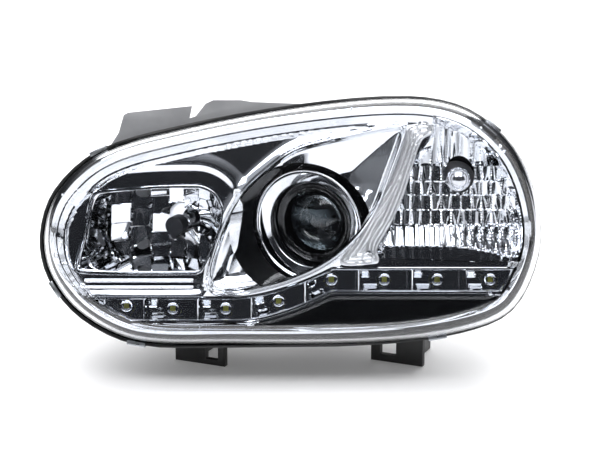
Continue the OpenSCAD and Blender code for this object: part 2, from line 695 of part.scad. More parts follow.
module projector_reflector() color(steel) car() {
    difference() {
        union() {
            rod(low_axis, holder_back_y, bowl_front_y, flange_r);
            turned(low_axis, concat([[0, bowl_front_y]], bowl_profile(2.5), [[0, bowl_end_y + 1]]));
            rod(low_axis, bowl_end_y - 8, low_seat_y, 17);
        }
        rod(low_axis, holder_back_y - 1, bowl_front_y + 0.1, bowl_r);
        turned(low_axis, concat([[0, bowl_front_y]], bowl_profile(0), [[0, bowl_end_y]]));
        rod(low_axis, low.y, low.y + 140, capsule_r + 1.5);
        for (p = projector_screw_at) rod(p, low.y, low.y + 60, screw_r);
    }
    clip_ears(low_axis, low_seat_y);
}
projector_screw_at = [for (a = [45:90:315]) low_axis + ear_ring * [cos(a), sin(a)]];
module projector_screws() color(steel) car() for (p = projector_screw_at)
    screw(p, holder_back_y - 4 - screw_r, frame_back_y, screw_r);
module low_capsule() color(clear) car() bulb_capsule(low_axis, low_seat_y, 28);
module low_bulb_base() color(steel) car() bulb_base(low_axis, low_seat_y);
module low_bulb_clip() color(steel) car() bulb_clip(low_axis, low_seat_y);

// High-beam reflector and its bulb
paraboloid_ys = [0, 1, 2.6, 7, 14.5, 21, 33, 46, 64, 90];
module paraboloid(vertex) turned(high_axis, concat(
    [for (d = paraboloid_ys) [2 * sqrt(focus * d), vertex - d]], [[0, vertex - 90]]
));
reflector_frame = [
    high.x - reflector_half_w, high.x + reflector_half_w, high.z - reflector_down, high.z + reflector_up, 22
];
module reflector_box(less) slab(high.y - 50, vertex_y + 20) rounded_2d(reflector_frame, less);
module high_reflector_solid() intersection() {
    reflector_box(0);
    paraboloid(vertex_y + reflector_t);
}
module high_reflector_outer() intersection() {
    high_reflector_solid();
    rotate([-lean, 0, sweep]) block([-300, 300], [reflector_cut_y, 300], [-300, 300]);
}
module high_reflector() color(chrome) car() {
    difference() {
        union() {
            high_reflector_outer();
            rod(high_axis, vertex_y - 4, high_seat_y, 17);
        }
        intersection() {
            reflector_box(reflector_t);
            paraboloid(vertex_y);
        }
        rod(high_axis, high.y, high.y + 100, capsule_r + 1.5);
    }
    clip_ears(high_axis, high_seat_y);
}
shield_y = high_seat_y - 34;
module high_bulb_shield() color(chrome) car() {
    tube(high_axis, shield_y, shield_y + 9, capsule_r + 2.2, capsule_r + 1.2);
    rod(high_axis, shield_y - 1, shield_y, capsule_r + 2.2);
    difference() {
        block(about(high.x, -2, 2), [shield_y, vertex_y], about(high.z - capsule_r, -3.2, -1.6));
        paraboloid_outside();
    }
}
module paraboloid_outside() difference() {
    rod(high_axis, high.y, vertex_y + 5, 40);
    paraboloid(vertex_y);
}
module high_capsule() color(clear) car() bulb_capsule(high_axis, high_seat_y, 28);
module high_bulb_base() color(steel) car() bulb_base(high_axis, high_seat_y);
module high_bulb_clip() color(steel) car() bulb_clip(high_axis, high_seat_y);

// Aiming frame, its three sockets and the adjusters
high_ring_r = 38;
post_r = 4;
reflector_post_at = [for (x = [-36, 36], z = [-22, 20]) high_axis + [x, z]];
module aiming_frame() color(grey) car() difference() {
    union() {
        slab(frame_y, frame_back_y) {
            translate(low_axis) circle(r = flange_r);
            translate(high_axis) circle(r = high_ring_r);
            for (p = reflector_post_at) translate(p) circle(r = post_r + 3);
            for (p = [pivot_at, level_at, aim_at]) translate(p) circle(r = ball_r + 6);
            translate([high.x, high.z - 16]) square([low.x - high.x, 32]);
            translate([pivot_at.x, pivot_at.y - 8]) square([aim_arm, 16]);
            translate([pivot_at.x - 8, pivot_at.y]) square([16, level_arm]);
        }
        for (p = reflector_post_at) rod(p, high.y + 20, frame_y + 1, post_r);
    }
    rod(low_axis, frame_y - 1, frame_back_y + 1, bowl_r + 4);
    rod(high_axis, frame_y - 1, frame_back_y + 1, high_ring_r - 7);
    high_reflector_solid();
    for (p = projector_screw_at) rod(p, low.y, low.y + 60, screw_r);
}
module pivot_socket() color(white) car() ball_socket(pivot_at, ball_y, pivot_r, -9);
module level_socket() color(white) car() ball_socket(level_at, ball_y, ball_r, 27);
module aim_socket() color(white) car() ball_socket(aim_at, ball_y, ball_r, 27);
module pivot_ball() color(steel) car() ball(pivot_at, ball_y, pivot_r);
module pivot_post() color(black) car() difference() {
    rod(pivot_at, ball_y + 1.5, low_back_y - wall, pivot_r + 2);
    ball(pivot_at, ball_y, pivot_r + 0.15);
}
snout_r = 9;
motor_l = 38;
motor_y = low_back_y + 4;
motor_screw_at = [level_at + [-15, 0], level_at + [15, 0]];
module level_motor() color(black) car() difference() {
    union() {
        rod(level_at, low_back_y - wall, low_back_y, snout_r);
        rod(level_at, low_back_y, motor_y, 20);
        block(about(level_at[0], -17, 17), [motor_y, motor_y + motor_l], about(level_at[1], -11, 19));
        block(about(level_at[0], 17, 25), [motor_y + 14, motor_y + 32], about(level_at[1], -5, 13));
    }
    rod(level_at, low_back_y - 20, motor_y + motor_l - 8, shaft_r + shaft_play);
    rod(level_at, motor_y + motor_l - 7, motor_y + motor_l + 1, 2.5 + shaft_play);
    for (p = motor_screw_at) {
        rod(p, low_back_y - 20, motor_y + 1, screw_r);
        rod(p, motor_y, motor_y + 12, screw_r * 2 + 0.5);
    }
    block(about(level_at[0], 19, 26), [motor_y + 16, motor_y + 30], about(level_at[1], -3, 11));
}
module motor_screws() color(steel) car() for (p = motor_screw_at)
    screw(p, motor_y + screw_r, low_back_y - 7, screw_r);
module level_spindle() color(white) car() {
    ball(level_at, ball_y, ball_r);
    rod(level_at, ball_y, motor_y + motor_l - 14, shaft_r);
}
module height_knob() color(grey) car() {
    rod(level_at, motor_y + motor_l - 5, motor_y + motor_l + 1, 2.5);
    difference() {
        rod(level_at, motor_y + motor_l + 0.5, motor_y + motor_l + 9, 8);
        for (a = [0:60:300])
            rod(level_at + 8.6 * [cos(a), sin(a)], motor_y + motor_l, motor_y + motor_l + 10, 1.6);
        rod(level_at, motor_y + motor_l + 5, motor_y + motor_l + 10, 3);
    }
}
nut_back_y = low_back_y - wall - 5;
module aim_screw() color(grey) car() {
    rod(aim_at, ball_y + 13, low_back_y + 2, shaft_r);
    difference() {
        rod(aim_at, low_back_y + 0.5, low_back_y + 10, 8);
        for (a = [0:60:300]) rod(aim_at + 8.6 * [cos(a), sin(a)], low_back_y, low_back_y + 11, 1.6);
        rod(aim_at, low_back_y + 6, low_back_y + 11, 3);
    }
}
module aim_nut() color(white) car() difference() {
    union() {
        ball(aim_at, ball_y, ball_r);
        rod(aim_at, ball_y, ball_y + 9, ball_r - 1);
        rod(aim_at, ball_y + 8, nut_back_y, shaft_r + 2.5);
    }
    rod(aim_at, ball_y + 9, nut_back_y + 1, shaft_r + shaft_play);
}

// Rear covers, electrical socket and vent
module low_cover() color(black) car() cover_cap(low_axis, low_back_y, low_open_r);
module low_cover_seal() color(rubber) car() cover_ring_seal(low_axis, low_back_y, low_open_r);
module high_cover() color(black) car() cover_cap(high_axis, high_back_y, high_open_r);
module high_cover_seal() color(rubber) car() cover_ring_seal(high_axis, high_back_y, high_open_r);
socket_l = 20;
module socket_body() color(black) car() difference() {
    union() {
        slab(low_back_y, low_back_y + socket_l) translate(socket_at - [13, 9]) square([26, 18]);
        slab(low_back_y - wall, low_back_y) translate(socket_at - [8, 4]) square([16, 8]);
    }
    slab(low_back_y + wall, low_back_y + socket_l + 1) translate(socket_at - [11, 7]) square([22, 14]);
    for (p = pin_at) slab(low_back_y - 20, low_back_y + 10) translate(p - [1, 0.5]) square([2, 1]);
}
pin_at = [for (x = [-7.5:5:7.5], z = [-3.2, 3.2]) socket_at + [x * 0.9, z]];
module socket_pins() color([0.8, 0.7, 0.4]) car() for (p = pin_at)
    slab(low_back_y - 6, low_back_y + 15) translate(p - [1, 0.5]) square([2, 1]);
module vent_cap() color(rubber) car() {
    rod(vent_at, high_back_y - wall, high_back_y + 1, 5);
    difference() {
        rod(vent_at, high_back_y, high_back_y + 10, 8);
        rod(vent_at, high_back_y + 4, high_back_y + 11, 5.5);
    }
}

// Brackets that fix the lamp to the car
bracket_shape = [
    [-141, 50], [-140.5, 61.5], [-135, 70], [-132.5, 79], [-131, 84], [-127.5, 85.8], [-77.5, 91], [-79.5, 81.3],
    [-74.5, 83], [-66.8, 92.8], [-60.7, 95.6], [-39, 95.6], [-30, 94.2], [10, 92.6], [16, 84], [-25, 70]
];
ledge_x = [-61, -39];
ledge_l = 33;
ledge_z = 95.6;
ledge_t = 4;
ledge_hole = [-50, bracket_y + 20];
module upper_bracket() color(grey) car() difference() {
    union() {
        rotate([-lean, 0, sweep]) slab(bracket_y, bracket_y + bracket_t) polygon(bracket_shape);
        rotate([-lean, 0, sweep]) block(ledge_x, [bracket_y, bracket_y + ledge_l], [ledge_z - ledge_t, ledge_z]);
    }
    bowl_solid();
    rotate([-lean, 0, sweep]) {
        translate([ledge_hole.x, ledge_hole.y, ledge_z - 20]) cylinder(h = 40, r = fixing_r);
        for (p = upper_screw_at) rod(p, bracket_y + screw_cover, bowl_depth, screw_r);
    }
}
module upper_screws() color(steel) front() for (p = upper_screw_at)
    screw(p, bowl_depth + screw_r, bracket_y + screw_cover, screw_r);

// A foot: plate with a window, rib behind it and a pad on the bowl's back
module foot(at, rib_x, window_x, window_z) car() difference() {
    base = swept([at.x, at.y, 0]);
    top_z = stand_h + leaned([0, bowl_depth, foot_pad_z]).z;
    screw_at = [at.x, foot_pad_z];
    union() {
        translate([base.x, base.y, -stand_h]) difference() {
            union() {
                block([-foot_w / 2, foot_w / 2], [0, foot_t], [0, top_z]);
                block(about(rib_x, -foot_t / 2, foot_t / 2), [0, foot_rib_l], [0, top_z]);
            }
            block(window_x, [-1, foot_t + 1], window_z);
        }
        rotate([-lean, 0, sweep])
            slab(bowl_depth, bowl_depth + foot_t) translate(screw_at - [14, 10]) square([28, 20]);
    }
    bowl_solid();
    rear_boxes(0, 0);
    rotate([-lean, 0, sweep]) {
        rod(screw_at, bowl_depth - 1, bowl_depth + 60, screw_r);
        rod(screw_at, bowl_depth + foot_t, bowl_depth + 60, screw_r * 2 + 0.5);
    }
}
module left_foot() color(black) foot(left_foot_at, -9.5, [5.3, 16], [4.5, 20]);
module right_foot() color(black) foot(right_foot_at, 9.5, [-14, -0.6], [6, 20]);
module foot_screws() color(steel) front() for (p = [left_foot_at, right_foot_at])
    screw([p.x, foot_pad_z], bowl_depth + foot_t + screw_r, bowl_depth - wall - 2, screw_r);

housing();
lens_cover();
lens_seal();
lens_clips();
bezel();
louvres();
bezel_screws();
infill_panel();
led_tray();
led_board();
led_chips();
led_resistors();
led_optics();
indicator_reflector();
trim_strip();
trim_screws();
indicator_bulb();
indicator_bulb_base();
indicator_holder();
indicator_seal();
projector_shroud();
lens_holder();
projector_lens();
cutoff_shield();
projector_reflector();
projector_screws();
low_capsule();
low_bulb_base();
low_bulb_clip();
high_reflector();
high_bulb_shield();
high_capsule();
high_bulb_base();
high_bulb_clip();
aiming_frame();
pivot_socket();
level_socket();
aim_socket();
pivot_ball();
pivot_post();
level_motor();
motor_screws();
level_spindle();
height_knob();
aim_screw();
aim_nut();
low_cover();
low_cover_seal();
high_cover();
high_cover_seal();
socket_body();
socket_pins();
vent_cap();
upper_bracket();
upper_screws();
left_foot();
right_foot();
foot_screws();
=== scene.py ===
import json
import logging
import math
from collections.abc import Callable, Sequence
from dataclasses import dataclass
from enum import Enum
from functools import cache

import bmesh
import bpy
import numpy as np
from mathutils import Matrix, Vector
from mathutils.geometry import delaunay_2d_cdt
from mathutils.kdtree import KDTree


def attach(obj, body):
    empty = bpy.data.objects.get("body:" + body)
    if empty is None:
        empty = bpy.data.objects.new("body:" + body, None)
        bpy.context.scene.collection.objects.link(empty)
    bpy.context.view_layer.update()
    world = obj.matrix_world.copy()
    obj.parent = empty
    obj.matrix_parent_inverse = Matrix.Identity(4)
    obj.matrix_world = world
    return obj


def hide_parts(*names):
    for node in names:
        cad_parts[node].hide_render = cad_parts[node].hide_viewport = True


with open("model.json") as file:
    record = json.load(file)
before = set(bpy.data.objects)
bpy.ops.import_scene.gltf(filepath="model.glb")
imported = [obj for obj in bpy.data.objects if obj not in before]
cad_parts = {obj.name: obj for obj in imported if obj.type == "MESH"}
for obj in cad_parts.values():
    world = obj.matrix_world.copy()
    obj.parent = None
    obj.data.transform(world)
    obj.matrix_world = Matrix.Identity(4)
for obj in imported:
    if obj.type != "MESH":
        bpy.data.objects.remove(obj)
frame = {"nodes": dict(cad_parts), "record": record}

log = logging.getLogger("headlight")
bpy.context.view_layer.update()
MM_PER_METRE = 1000
Point = tuple[float, float]
Points = tuple[Point, ...]
Numbers = tuple[float, ...]
Triple = tuple[float, float, float]
Copies = tuple[tuple, ...]
Piece = bpy.types.Object
Array = np.ndarray
Relief = Callable[[Array], Array]

# Frames: millimetres of the car or of the lamp's face, turned into metres of the row
SWEEP = math.radians(24)
LEAN = math.radians(15)
CAR_TO_ROW = Matrix.Scale(1 / MM_PER_METRE, 4) @ Matrix.Translation((7.336, -47.623, 126))
FACE_TO_CAR = Matrix.Rotation(SWEEP, 4, "Z") @ Matrix.Rotation(-LEAN, 4, "X")
FACE_TURN = np.array(FACE_TO_CAR.to_3x3())


class Place(Enum):
    """The frame that a piece is drawn in: millimetres of the face or the car, or metres of the row."""

    FACE = "face"
    CAR = "car"
    ROW = "row"

    @property
    def matrix(self) -> Matrix:
        """Matrix from this frame to the row's metres."""
        return {Place.FACE: CAR_TO_ROW @ FACE_TO_CAR, Place.CAR: CAR_TO_ROW, Place.ROW: Matrix()}[self]


class End(Enum):
    """How the open ends of a loft are closed."""

    OPEN = "open"
    FLAT = "flat"
    JOINED = "joined"
    POINT = "point"
    DOME = "dome"


def linear(hex_colour: str) -> tuple[float, float, float, float]:
    """Turn an sRGB hex colour into linear light with an alpha of one."""
    parts = [int(hex_colour[i:i + 2], 16) / 255 for i in (1, 3, 5)]
    return (*(c / 12.92 if c <= 0.04045 else ((c + 0.055) / 1.055) ** 2.4 for c in parts), 1.0)


def add_node(tree: bpy.types.NodeTree, kind: str, settings: dict | None = None,
             links: dict | None = None) -> bpy.types.Node:
    """Add one shader node with its settings and incoming links.

    Args:
        tree: Node tree to add to.
        kind: Blender's name for the node's class.
        settings: Values by property name or by socket; "stops" gives a ramp's places and hex colours.
        links: Output sockets by the socket name or number that they feed.

    Returns:
        The new node.
    """
    node = tree.nodes.new(kind)
    for key, value in (settings or {}).items():
        if key == "stops":
            ramp = node.color_ramp.elements
            while len(ramp) < len(value):
                ramp.new(0.5)
            for stop, (at, colour) in zip(ramp, value):
                stop.position = at
                stop.color = linear(colour)
        elif isinstance(key, str) and hasattr(node, key):
            setattr(node, key, value)
        else:
            node.inputs[key].default_value = value
    for key, socket in (links or {}).items():
        tree.links.new(socket, node.inputs[key])
    return node


@dataclass(frozen=True)
class Finish:
    """A material of two near colours, whose roughness drifts and whose skin has a fine relief."""

    name: str
    colour: str
    patches: str
    # Least and most roughness, then the size and the depth of the relief
    roughness: Point = (0.0, 0.012)
    relief_mm: Point = (1.0, 0.0)
    patch_mm: float = 22
    haze_mm: float = 9
    stretch: Triple = (1.0, 1.0, 1.0)
    # What the second colour is laid by: its distortion and detail, and where on it the colours change
    pattern: str = "ShaderNodeTexNoise"
    swirl: Point = (0.0, 3.0)
    change: Point = (0.35, 0.7)
    ior: float = 1.5
    metallic: float = 0.0
    passes: float = 0.0
    coat: float = 0.0
    glow: float = 0.0

    def make(self) -> bpy.types.Material:
        """Build the node material, which reads Object coordinates.

        Returns:
            The material.
        """
        material = bpy.data.materials.new(self.name)
        material.use_nodes = True
        tree = material.node_tree
        tree.nodes.clear()
        where = add_node(tree, "ShaderNodeTexCoord").outputs["Object"]
        drawn = add_node(tree, "ShaderNodeMapping", {"Scale": self.stretch}, {"Vector": where}).outputs[0]
        noises = []
        for kind, size_mm, distortion, detail, at in (
            (self.pattern, self.patch_mm, *self.swirl, where),
            ("ShaderNodeTexNoise", self.haze_mm, 0.0, 4.0, drawn),
            ("ShaderNodeTexNoise", self.relief_mm[0], 0.0, 2.0, drawn),
        ):
            settings = {"Scale": MM_PER_METRE / size_mm, "Distortion": distortion, "Detail": detail}
            noises.append(add_node(tree, kind, settings, {"Vector": at}).outputs["Fac"])
        least, most = self.roughness
        colours = {"stops": tuple(zip(self.change, (self.colour, self.patches)))}
        haze = {"From Min": 0.3, "From Max": 0.7, "To Min": least, "To Max": most}
        bump = {"Strength": 1.0, "Distance": self.relief_mm[1] / MM_PER_METRE}
        base = add_node(tree, "ShaderNodeValToRGB", colours, {"Fac": noises[0]})
        links = {"Base Color": base.outputs["Color"]}
        if most > least:
            links["Roughness"] = add_node(tree, "ShaderNodeMapRange", haze, {"Value": noises[1]}).outputs[0]
        if self.relief_mm[1]:
            links["Normal"] = add_node(tree, "ShaderNodeBump", bump, {"Height": noises[2]}).outputs["Normal"]
        shader = add_node(tree, "ShaderNodeBsdfPrincipled", {
            "Roughness": least, "IOR": self.ior, "Metallic": self.metallic, "Coat Weight": self.coat,
            "Transmission Weight": self.passes, "Emission Color": linear("#ffffff"),
            "Emission Strength": self.glow,
        }, links)
        add_node(tree, "ShaderNodeOutputMaterial", links={"Surface": shader.outputs[0]})
        return material


@dataclass(frozen=True)
class Moulded(Finish):
    """Plastic or rubber from a mould: one colour in faint blotches under a fine eroded grain."""

    relief_mm: Point = (0.9, 0.02)


@dataclass(frozen=True)
class Metal(Finish):
    """A metal skin: its own tint, a haze that drifts over it, and waves or scratches in its surface."""

    relief_mm: Point = (14.0, 0.004)
    patch_mm: float = 30
    haze_mm: float = 6
    metallic: float = 1.0


@dataclass(frozen=True)
class Clear(Finish):
    """A clear moulding or glass: light passes with a faint tint, and the skin has slow waves."""

    relief_mm: Point = (25.0, 0.003)
    patch_mm: float = 40
    haze_mm: float = 12
    passes: float = 1.0


# Distance between the tracks of a circuit board
TRACK_MM = 4.948
# Finishes by the record's slot, and three that no slot names
FINISHES = {
    # Polycarbonate, moulded and hard coated: water clear, with faint flow waves
    "clear_polycarbonate": Clear("Polycarbonate, moulded clear", "#f6f8fb", "#fbfcff"),
    # Polypropylene, moulded black: dull, slightly grainy
    "housing_black": Moulded("Polypropylene, moulded black", "#131415", "#1b1c1e", (0.38, 0.52)),
    # Polycarbonate, vacuum metallised: a mirror with the slightest waves of the moulding
    "chromed_plastic": Metal("Polycarbonate, vacuum chromed", "#eceef1", "#f3f4f6", (0.035, 0.06)),
    # ABS, moulded against a polished tool: black and shiny
    "gloss_black": Moulded("ABS, polished black", "#0e0f10", "#141517", (0.08, 0.14), (6.0, 0.004),
                           ior=1.54, coat=0.3),
    # Spring steel, rolled and zinc plated: grey metal with fine rolling lines
    "spring_steel": Metal("Spring steel, zinc plated", "#a9adb3", "#bcc0c4", (0.22, 0.36), (0.7, 0.006),
                          stretch=(1, 0.12, 1)),
    # Aluminium, pressed bowl: bright and a little hazy
    "bowl_aluminium": Metal("Aluminium, pressed", "#c4c6c9", "#d2d4d6", (0.18, 0.3), (1.6, 0.008)),
    # Glass-filled nylon, moulded grey: dull with pale fibres near the skin
    "grey_plastic": Moulded("Nylon, moulded grey", "#828386", "#8e8f92", (0.4, 0.55), (0.8, 0.03)),
    # Nylon, moulded natural: milky and waxy
    "white_nylon": Moulded("Nylon, moulded natural", "#e2dfd6", "#ece9e1", (0.32, 0.45), (1.4, 0.01),
                           ior=1.53),
    # EPDM rubber, moulded: black and matt
    "seal_rubber": Moulded("EPDM rubber, moulded", "#161616", "#1f1f1e", (0.6, 0.75), (0.6, 0.02)),
    # Optical glass, pressed: clear and grey in the mass
    "projector_glass": Clear("Optical glass, pressed", "#9aa0a2", "#a2a8aa", (0.0, 0.006), ior=1.52),
    # Quartz glass, drawn tube: clear
    "bulb_glass": Clear("Quartz glass, drawn", "#f4f6f6", "#fafbfb", ior=1.46),
    # Glass, silvered: a soft silver mirror
    "silvered_glass": Metal("Glass, silvered", "#d4d6da", "#e2e3e6", (0.1, 0.16), (5.0, 0.01)),
    # Epoxy glass board with solder mask: green, with paler tracks, for which a wave repeats every tenth of pi
    "board_green": Finish("Epoxy board, solder masked", "#0d3a22", "#1b5a38", (0.25, 0.4), ior=1.52,
                          haze_mm=4, pattern="ShaderNodeTexWave", patch_mm=TRACK_MM * 10 / math.pi,
                          swirl=(6.0, 1.0), change=(0.62, 0.7)),
    # Phosphor in silicone over the diode: egg yellow, waxy
    "led_phosphor": Moulded("Silicone, phosphor filled", "#d8d65a", "#e6e37c", (0.3, 0.4), (0.5, 0.01),
                            ior=1.41),
    # Thick-film resistor, glazed: black and satin
    "resistor_black": Moulded("Ceramic, glazed black", "#17181a", "#222326", (0.2, 0.3), (0.5, 0.01)),
    # Brass, stamped and tinned: warm metal
    "pin_brass": Metal("Brass, stamped", "#c4a864", "#d3bb7c", (0.2, 0.32), (0.8, 0.005),
                       stretch=(1, 0.2, 1)),
    # Polycarbonate, moulded with ribs over a metallised back: milky, with soft streaks of light
    "satin": Clear("Polycarbonate, satin moulded", "#fbfcfd", "#ffffff", (0.08, 0.16), (3.0, 0.02),
                   passes=0.05, metallic=0.5),
    # Steel, nearly black with a dull sheen: painted shade, worn by a part in place of its slot's own finish
    "painted_shade_black": Metal("Steel, black as painted shade", "#2b2c2e", "#37383b", (0.28, 0.4), (2.0, 0.01)),
    # Paper of a studio sweep, matt: white, with the faintest mottle and a little light of its own
    "paper": Finish("Paper, white matt", "#f4f4f5", "#f7f7f8", (0.9, 0.9), patch_mm=300, glow=0.14),
}


@cache
def material_of(key: str) -> bpy.types.Material:
    """Make the node material of a finish, once."""
    return FINISHES[key].make()


def dress(piece: Piece, key: str) -> None:
    """Give a piece one material in place of those that it has."""
    piece.data.materials.clear()
    piece.data.materials.append(material_of(key))


def settle(piece: Piece, slot: str, nodes: Sequence[str] = (), body: str = "housing_body",
           finish: str | None = None, sharp: float = 30, place: Place = Place.FACE) -> None:
    """Take a piece to its place, shade and dress it, and say what it rides on and stands for.

    Args:
        piece: Object at the origin, drawn in a frame's own units.
        slot: The record's material slot.
        nodes: CAD nodes that it hides.
        body: Name of the CAD body that carries it.
        finish: Material key, where it isn't the slot's own.
        sharp: Angle in degrees past which an edge stays sharp.
        place: That frame.
    """
    only(piece)
    piece.data.transform(place.matrix)
    bpy.ops.object.shade_smooth_by_angle(angle=math.radians(sharp))
    dress(piece, finish or slot)
    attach(piece, body)
    if nodes:
        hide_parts(*nodes)
    log.info("%s: %d faces on %s", piece.name, len(piece.data.polygons), body)


def angles(parts: int) -> Array:
    """Even angles round a circle."""
    return np.linspace(0, 2 * math.pi, parts, endpoint=False)


class Outline:
    """A closed curve in x and z, in millimetres, clockwise as seen from the front."""

    def __init__(self, points: Array | Sequence[Point]) -> None:
        """Keep the points as an array."""
        self.points = np.asarray(points, float)

    @classmethod
    def smooth(cls, knots: Sequence[Point] | Array, steps: int = 8) -> "Outline":
        """Run a smooth closed curve through knots.

        Args:
            knots: Points of the curve.
            steps: Pieces between two knots.

        Returns:
            The curve as an outline.
        """
        p = np.asarray(knots, float)
        after = np.roll(p, -1, 0)
        span = np.linalg.norm(after - p, axis=1)
        slope = (after - np.roll(p, 1, 0)) / (np.roll(span, 1) + span)[:, None]
        t = (np.arange(steps) / steps)[None, :, None]
        reach = span[:, None, None]
        curve = (2 * t**3 - 3 * t**2 + 1) * p[:, None] + (3 * t**2 - 2 * t**3) * after[:, None]
        curve = curve + (t**3 - 2 * t**2 + t) * reach * slope[:, None]
        curve = curve + (t**3 - t**2) * reach * np.roll(slope, -1, 0)[:, None]
        return cls(curve.reshape(-1, 2))

    def grown(self, more: float | Array) -> "Outline":
        """Move the curve outwards, or inwards by a negative distance.

        Args:
            more: One distance, or one for each point.

        Returns:
            The moved outline.
        """
        along = np.roll(self.points, -1, 0) - np.roll(self.points, 1, 0)
        outward = np.column_stack([-along[:, 1], along[:, 0]])
        reach = np.reshape(more, (-1, 1))
        return Outline(self.points + reach * outward / np.linalg.norm(outward, axis=1)[:, None])

    def fanned(self, middle: Point, parts: int) -> "Outline":
        """Take points where even rays from a middle meet the curve.

        Args:
            middle: Point that sees the whole curve.
            parts: Number of rays.

        Returns:
            The outline of those points, clockwise from the right.
        """
        dense = self.resampled(pitch=0.4).points
        angle = np.arctan2(dense[:, 1] - middle[1], dense[:, 0] - middle[0])
        met = [np.interp(-angles(parts), angle, dense[:, k], period=2 * math.pi) for k in (0, 1)]
        return Outline(np.column_stack(met))

    def resampled(self, pitch: float) -> "Outline":
        """Place points evenly along the curve.

        Args:
            pitch: Distance between points.

        Returns:
            The even outline.
        """
        loop = np.vstack([self.points, self.points[:1]])
        run = np.concatenate([[0], np.cumsum(np.linalg.norm(np.diff(loop, axis=0), axis=1))])
        at = np.linspace(0, run[-1], max(8, round(run[-1] / pitch)), endpoint=False)
        return Outline(np.column_stack([np.interp(at, run, loop[:, k]) for k in (0, 1)]))

    def clipped(self, fence: "Outline") -> "Outline":
        """Keep what lies inside a rounded fence.

        Args:
            fence: Clockwise outline that bulges everywhere.

        Returns:
            The outline cut by the fence.
        """
        loop = list(self.points)
        for a, b in zip(fence.points, np.roll(fence.points, -1, 0)):
            way = b - a
            sides = [way[1] * (p[0] - a[0]) - way[0] * (p[1] - a[1]) for p in loop]
            kept = []
            for i, (p, s) in enumerate(zip(loop, sides)):
                q, r = loop[i - 1], sides[i - 1]
                if (s >= 0) != (r >= 0):
                    kept.append(q + (p - q) * r / (r - s))
                if s >= 0:
                    kept.append(p)
            loop = kept
        return Outline(loop)

    def depth(self, points: Array) -> Array:
        """Measure how far points lie inside the curve.

        Args:
            points: Rows of x and z.

        Returns:
            Distance to the curve, negative outside it.
        """
        best = np.full(len(points), np.inf)
        inside = np.zeros(len(points), bool)
        for p, q in zip(self.points, np.roll(self.points, -1, 0)):
            way = q - p
            off = points - p
            t = np.clip(off @ way / max(way @ way, 1e-12), 0, 1)
            best = np.minimum(best, ((off - t[:, None] * way) ** 2).sum(1))
            if p[1] != q[1]:
                crosses = (p[1] > points[:, 1]) != (q[1] > points[:, 1])
                inside ^= crosses & (off[:, 0] < off[:, 1] * way[0] / way[1])
        return np.where(inside, 1, -1) * np.sqrt(best)

    def ring(self, y: float | Array) -> Array:
        """Give the curve as points in space at a depth."""
        return np.column_stack([self.points[:, 0], np.broadcast_to(y, len(self.points)), self.points[:, 1]])


def only(piece: Piece | None = None) -> None:
    """Go to object mode and select nothing but a piece.

    Args:
        piece: Object to select and make active, or nothing.
    """
    if bpy.context.object and bpy.context.object.mode != "OBJECT":
        bpy.ops.object.mode_set(mode="OBJECT")
    bpy.ops.object.select_all(action="DESELECT")
    if piece:
        piece.select_set(True)
        bpy.context.view_layer.objects.active = piece


def open_for_edit(piece: Piece) -> None:
    """Open a piece in edit mode with all of it selected.

    Args:
        piece: Object to open.
    """
    only(piece)
    bpy.ops.object.mode_set(mode="EDIT")
    bpy.ops.mesh.select_all(action="SELECT")


def finish_with(piece: Piece, kind: str, **settings: object) -> None:
    """Add a modifier and apply it.

    Args:
        piece: Object to change.
        kind: Blender's name for the modifier.
        settings: Its properties.
    """
    only(piece)
    modifier = piece.modifiers.new(kind.title(), kind)
    for key, value in settings.items():
        setattr(modifier, key, value)
    bpy.ops.object.modifier_apply(modifier=modifier.name)


def loft(name: str, rings: Sequence[Array], end: End, wall: float = 0.0, offset: float = 0.0) -> Piece:
    """Draw a skin through rings of points by extruding a circle and setting each new ring in place.

    Args:
        name: Name of the piece.
        rings: Arrays of as many points each.
        end: What closes the ends.
        wall: Thickness that an open skin gets, or zero.
        offset: Where the skin lies in that wall: 0 for its middle, -1 for its front.

    Returns:
        The piece, in the rings' own units.
    """
    only()
    bpy.ops.mesh.primitive_circle_add(vertices=len(rings[0]), radius=10)
    piece = bpy.context.object
    piece.name = name
    open_for_edit(piece)
    mesh = bmesh.from_edit_mesh(piece.data)
    spot = mesh.verts.layers.int.new("spot")
    for i, vertex in enumerate(mesh.verts):
        vertex[spot] = i
        vertex.co = rings[0][i]
    bmesh.update_edit_mesh(piece.data)
    for ring in rings[1:]:
        bpy.ops.mesh.extrude_edges_move()
        mesh = bmesh.from_edit_mesh(piece.data)
        spot = mesh.verts.layers.int["spot"]
        for vertex in mesh.verts:
            if vertex.select:
                vertex.co = ring[vertex[spot]]
        bmesh.update_edit_mesh(piece.data)
    if end in (End.POINT, End.DOME):
        bpy.ops.mesh.merge(type="CENTER")
    if end in (End.FLAT, End.POINT):
        bpy.ops.mesh.select_all(action="SELECT")
        bpy.ops.mesh.fill_holes(sides=0)
    mesh = bmesh.from_edit_mesh(piece.data)
    mesh.verts.layers.int.remove(mesh.verts.layers.int["spot"])
    bmesh.update_edit_mesh(piece.data)
    if end is not End.OPEN:
        open_for_edit(piece)
        bpy.ops.mesh.remove_doubles(threshold=0.01)
        bpy.ops.mesh.normals_make_consistent(inside=False)
    bpy.ops.object.mode_set(mode="OBJECT")
    if wall:
        finish_with(piece, "SOLIDIFY", thickness=wall, offset=offset)
    return piece


def turned(name: str, at: Point, profile: Sequence[Point], end: End, parts: int = 128) -> Piece:
    """Turn radii and depths round an axis along Y; a profile for End.JOINED ends where it starts."""
    return loft(name, [ellipse(at, (r, -r), parts).ring(y) for r, y in profile], end)


def nose(radius: float, y: float, rise: float, turn: Point, steps: int) -> list[Point]:
    """Radii and depths of a round nose in front of depth y, between two angles from its foot."""
    return [(radius * math.cos(t), y - rise * math.sin(t)) for t in np.linspace(*turn, steps)]


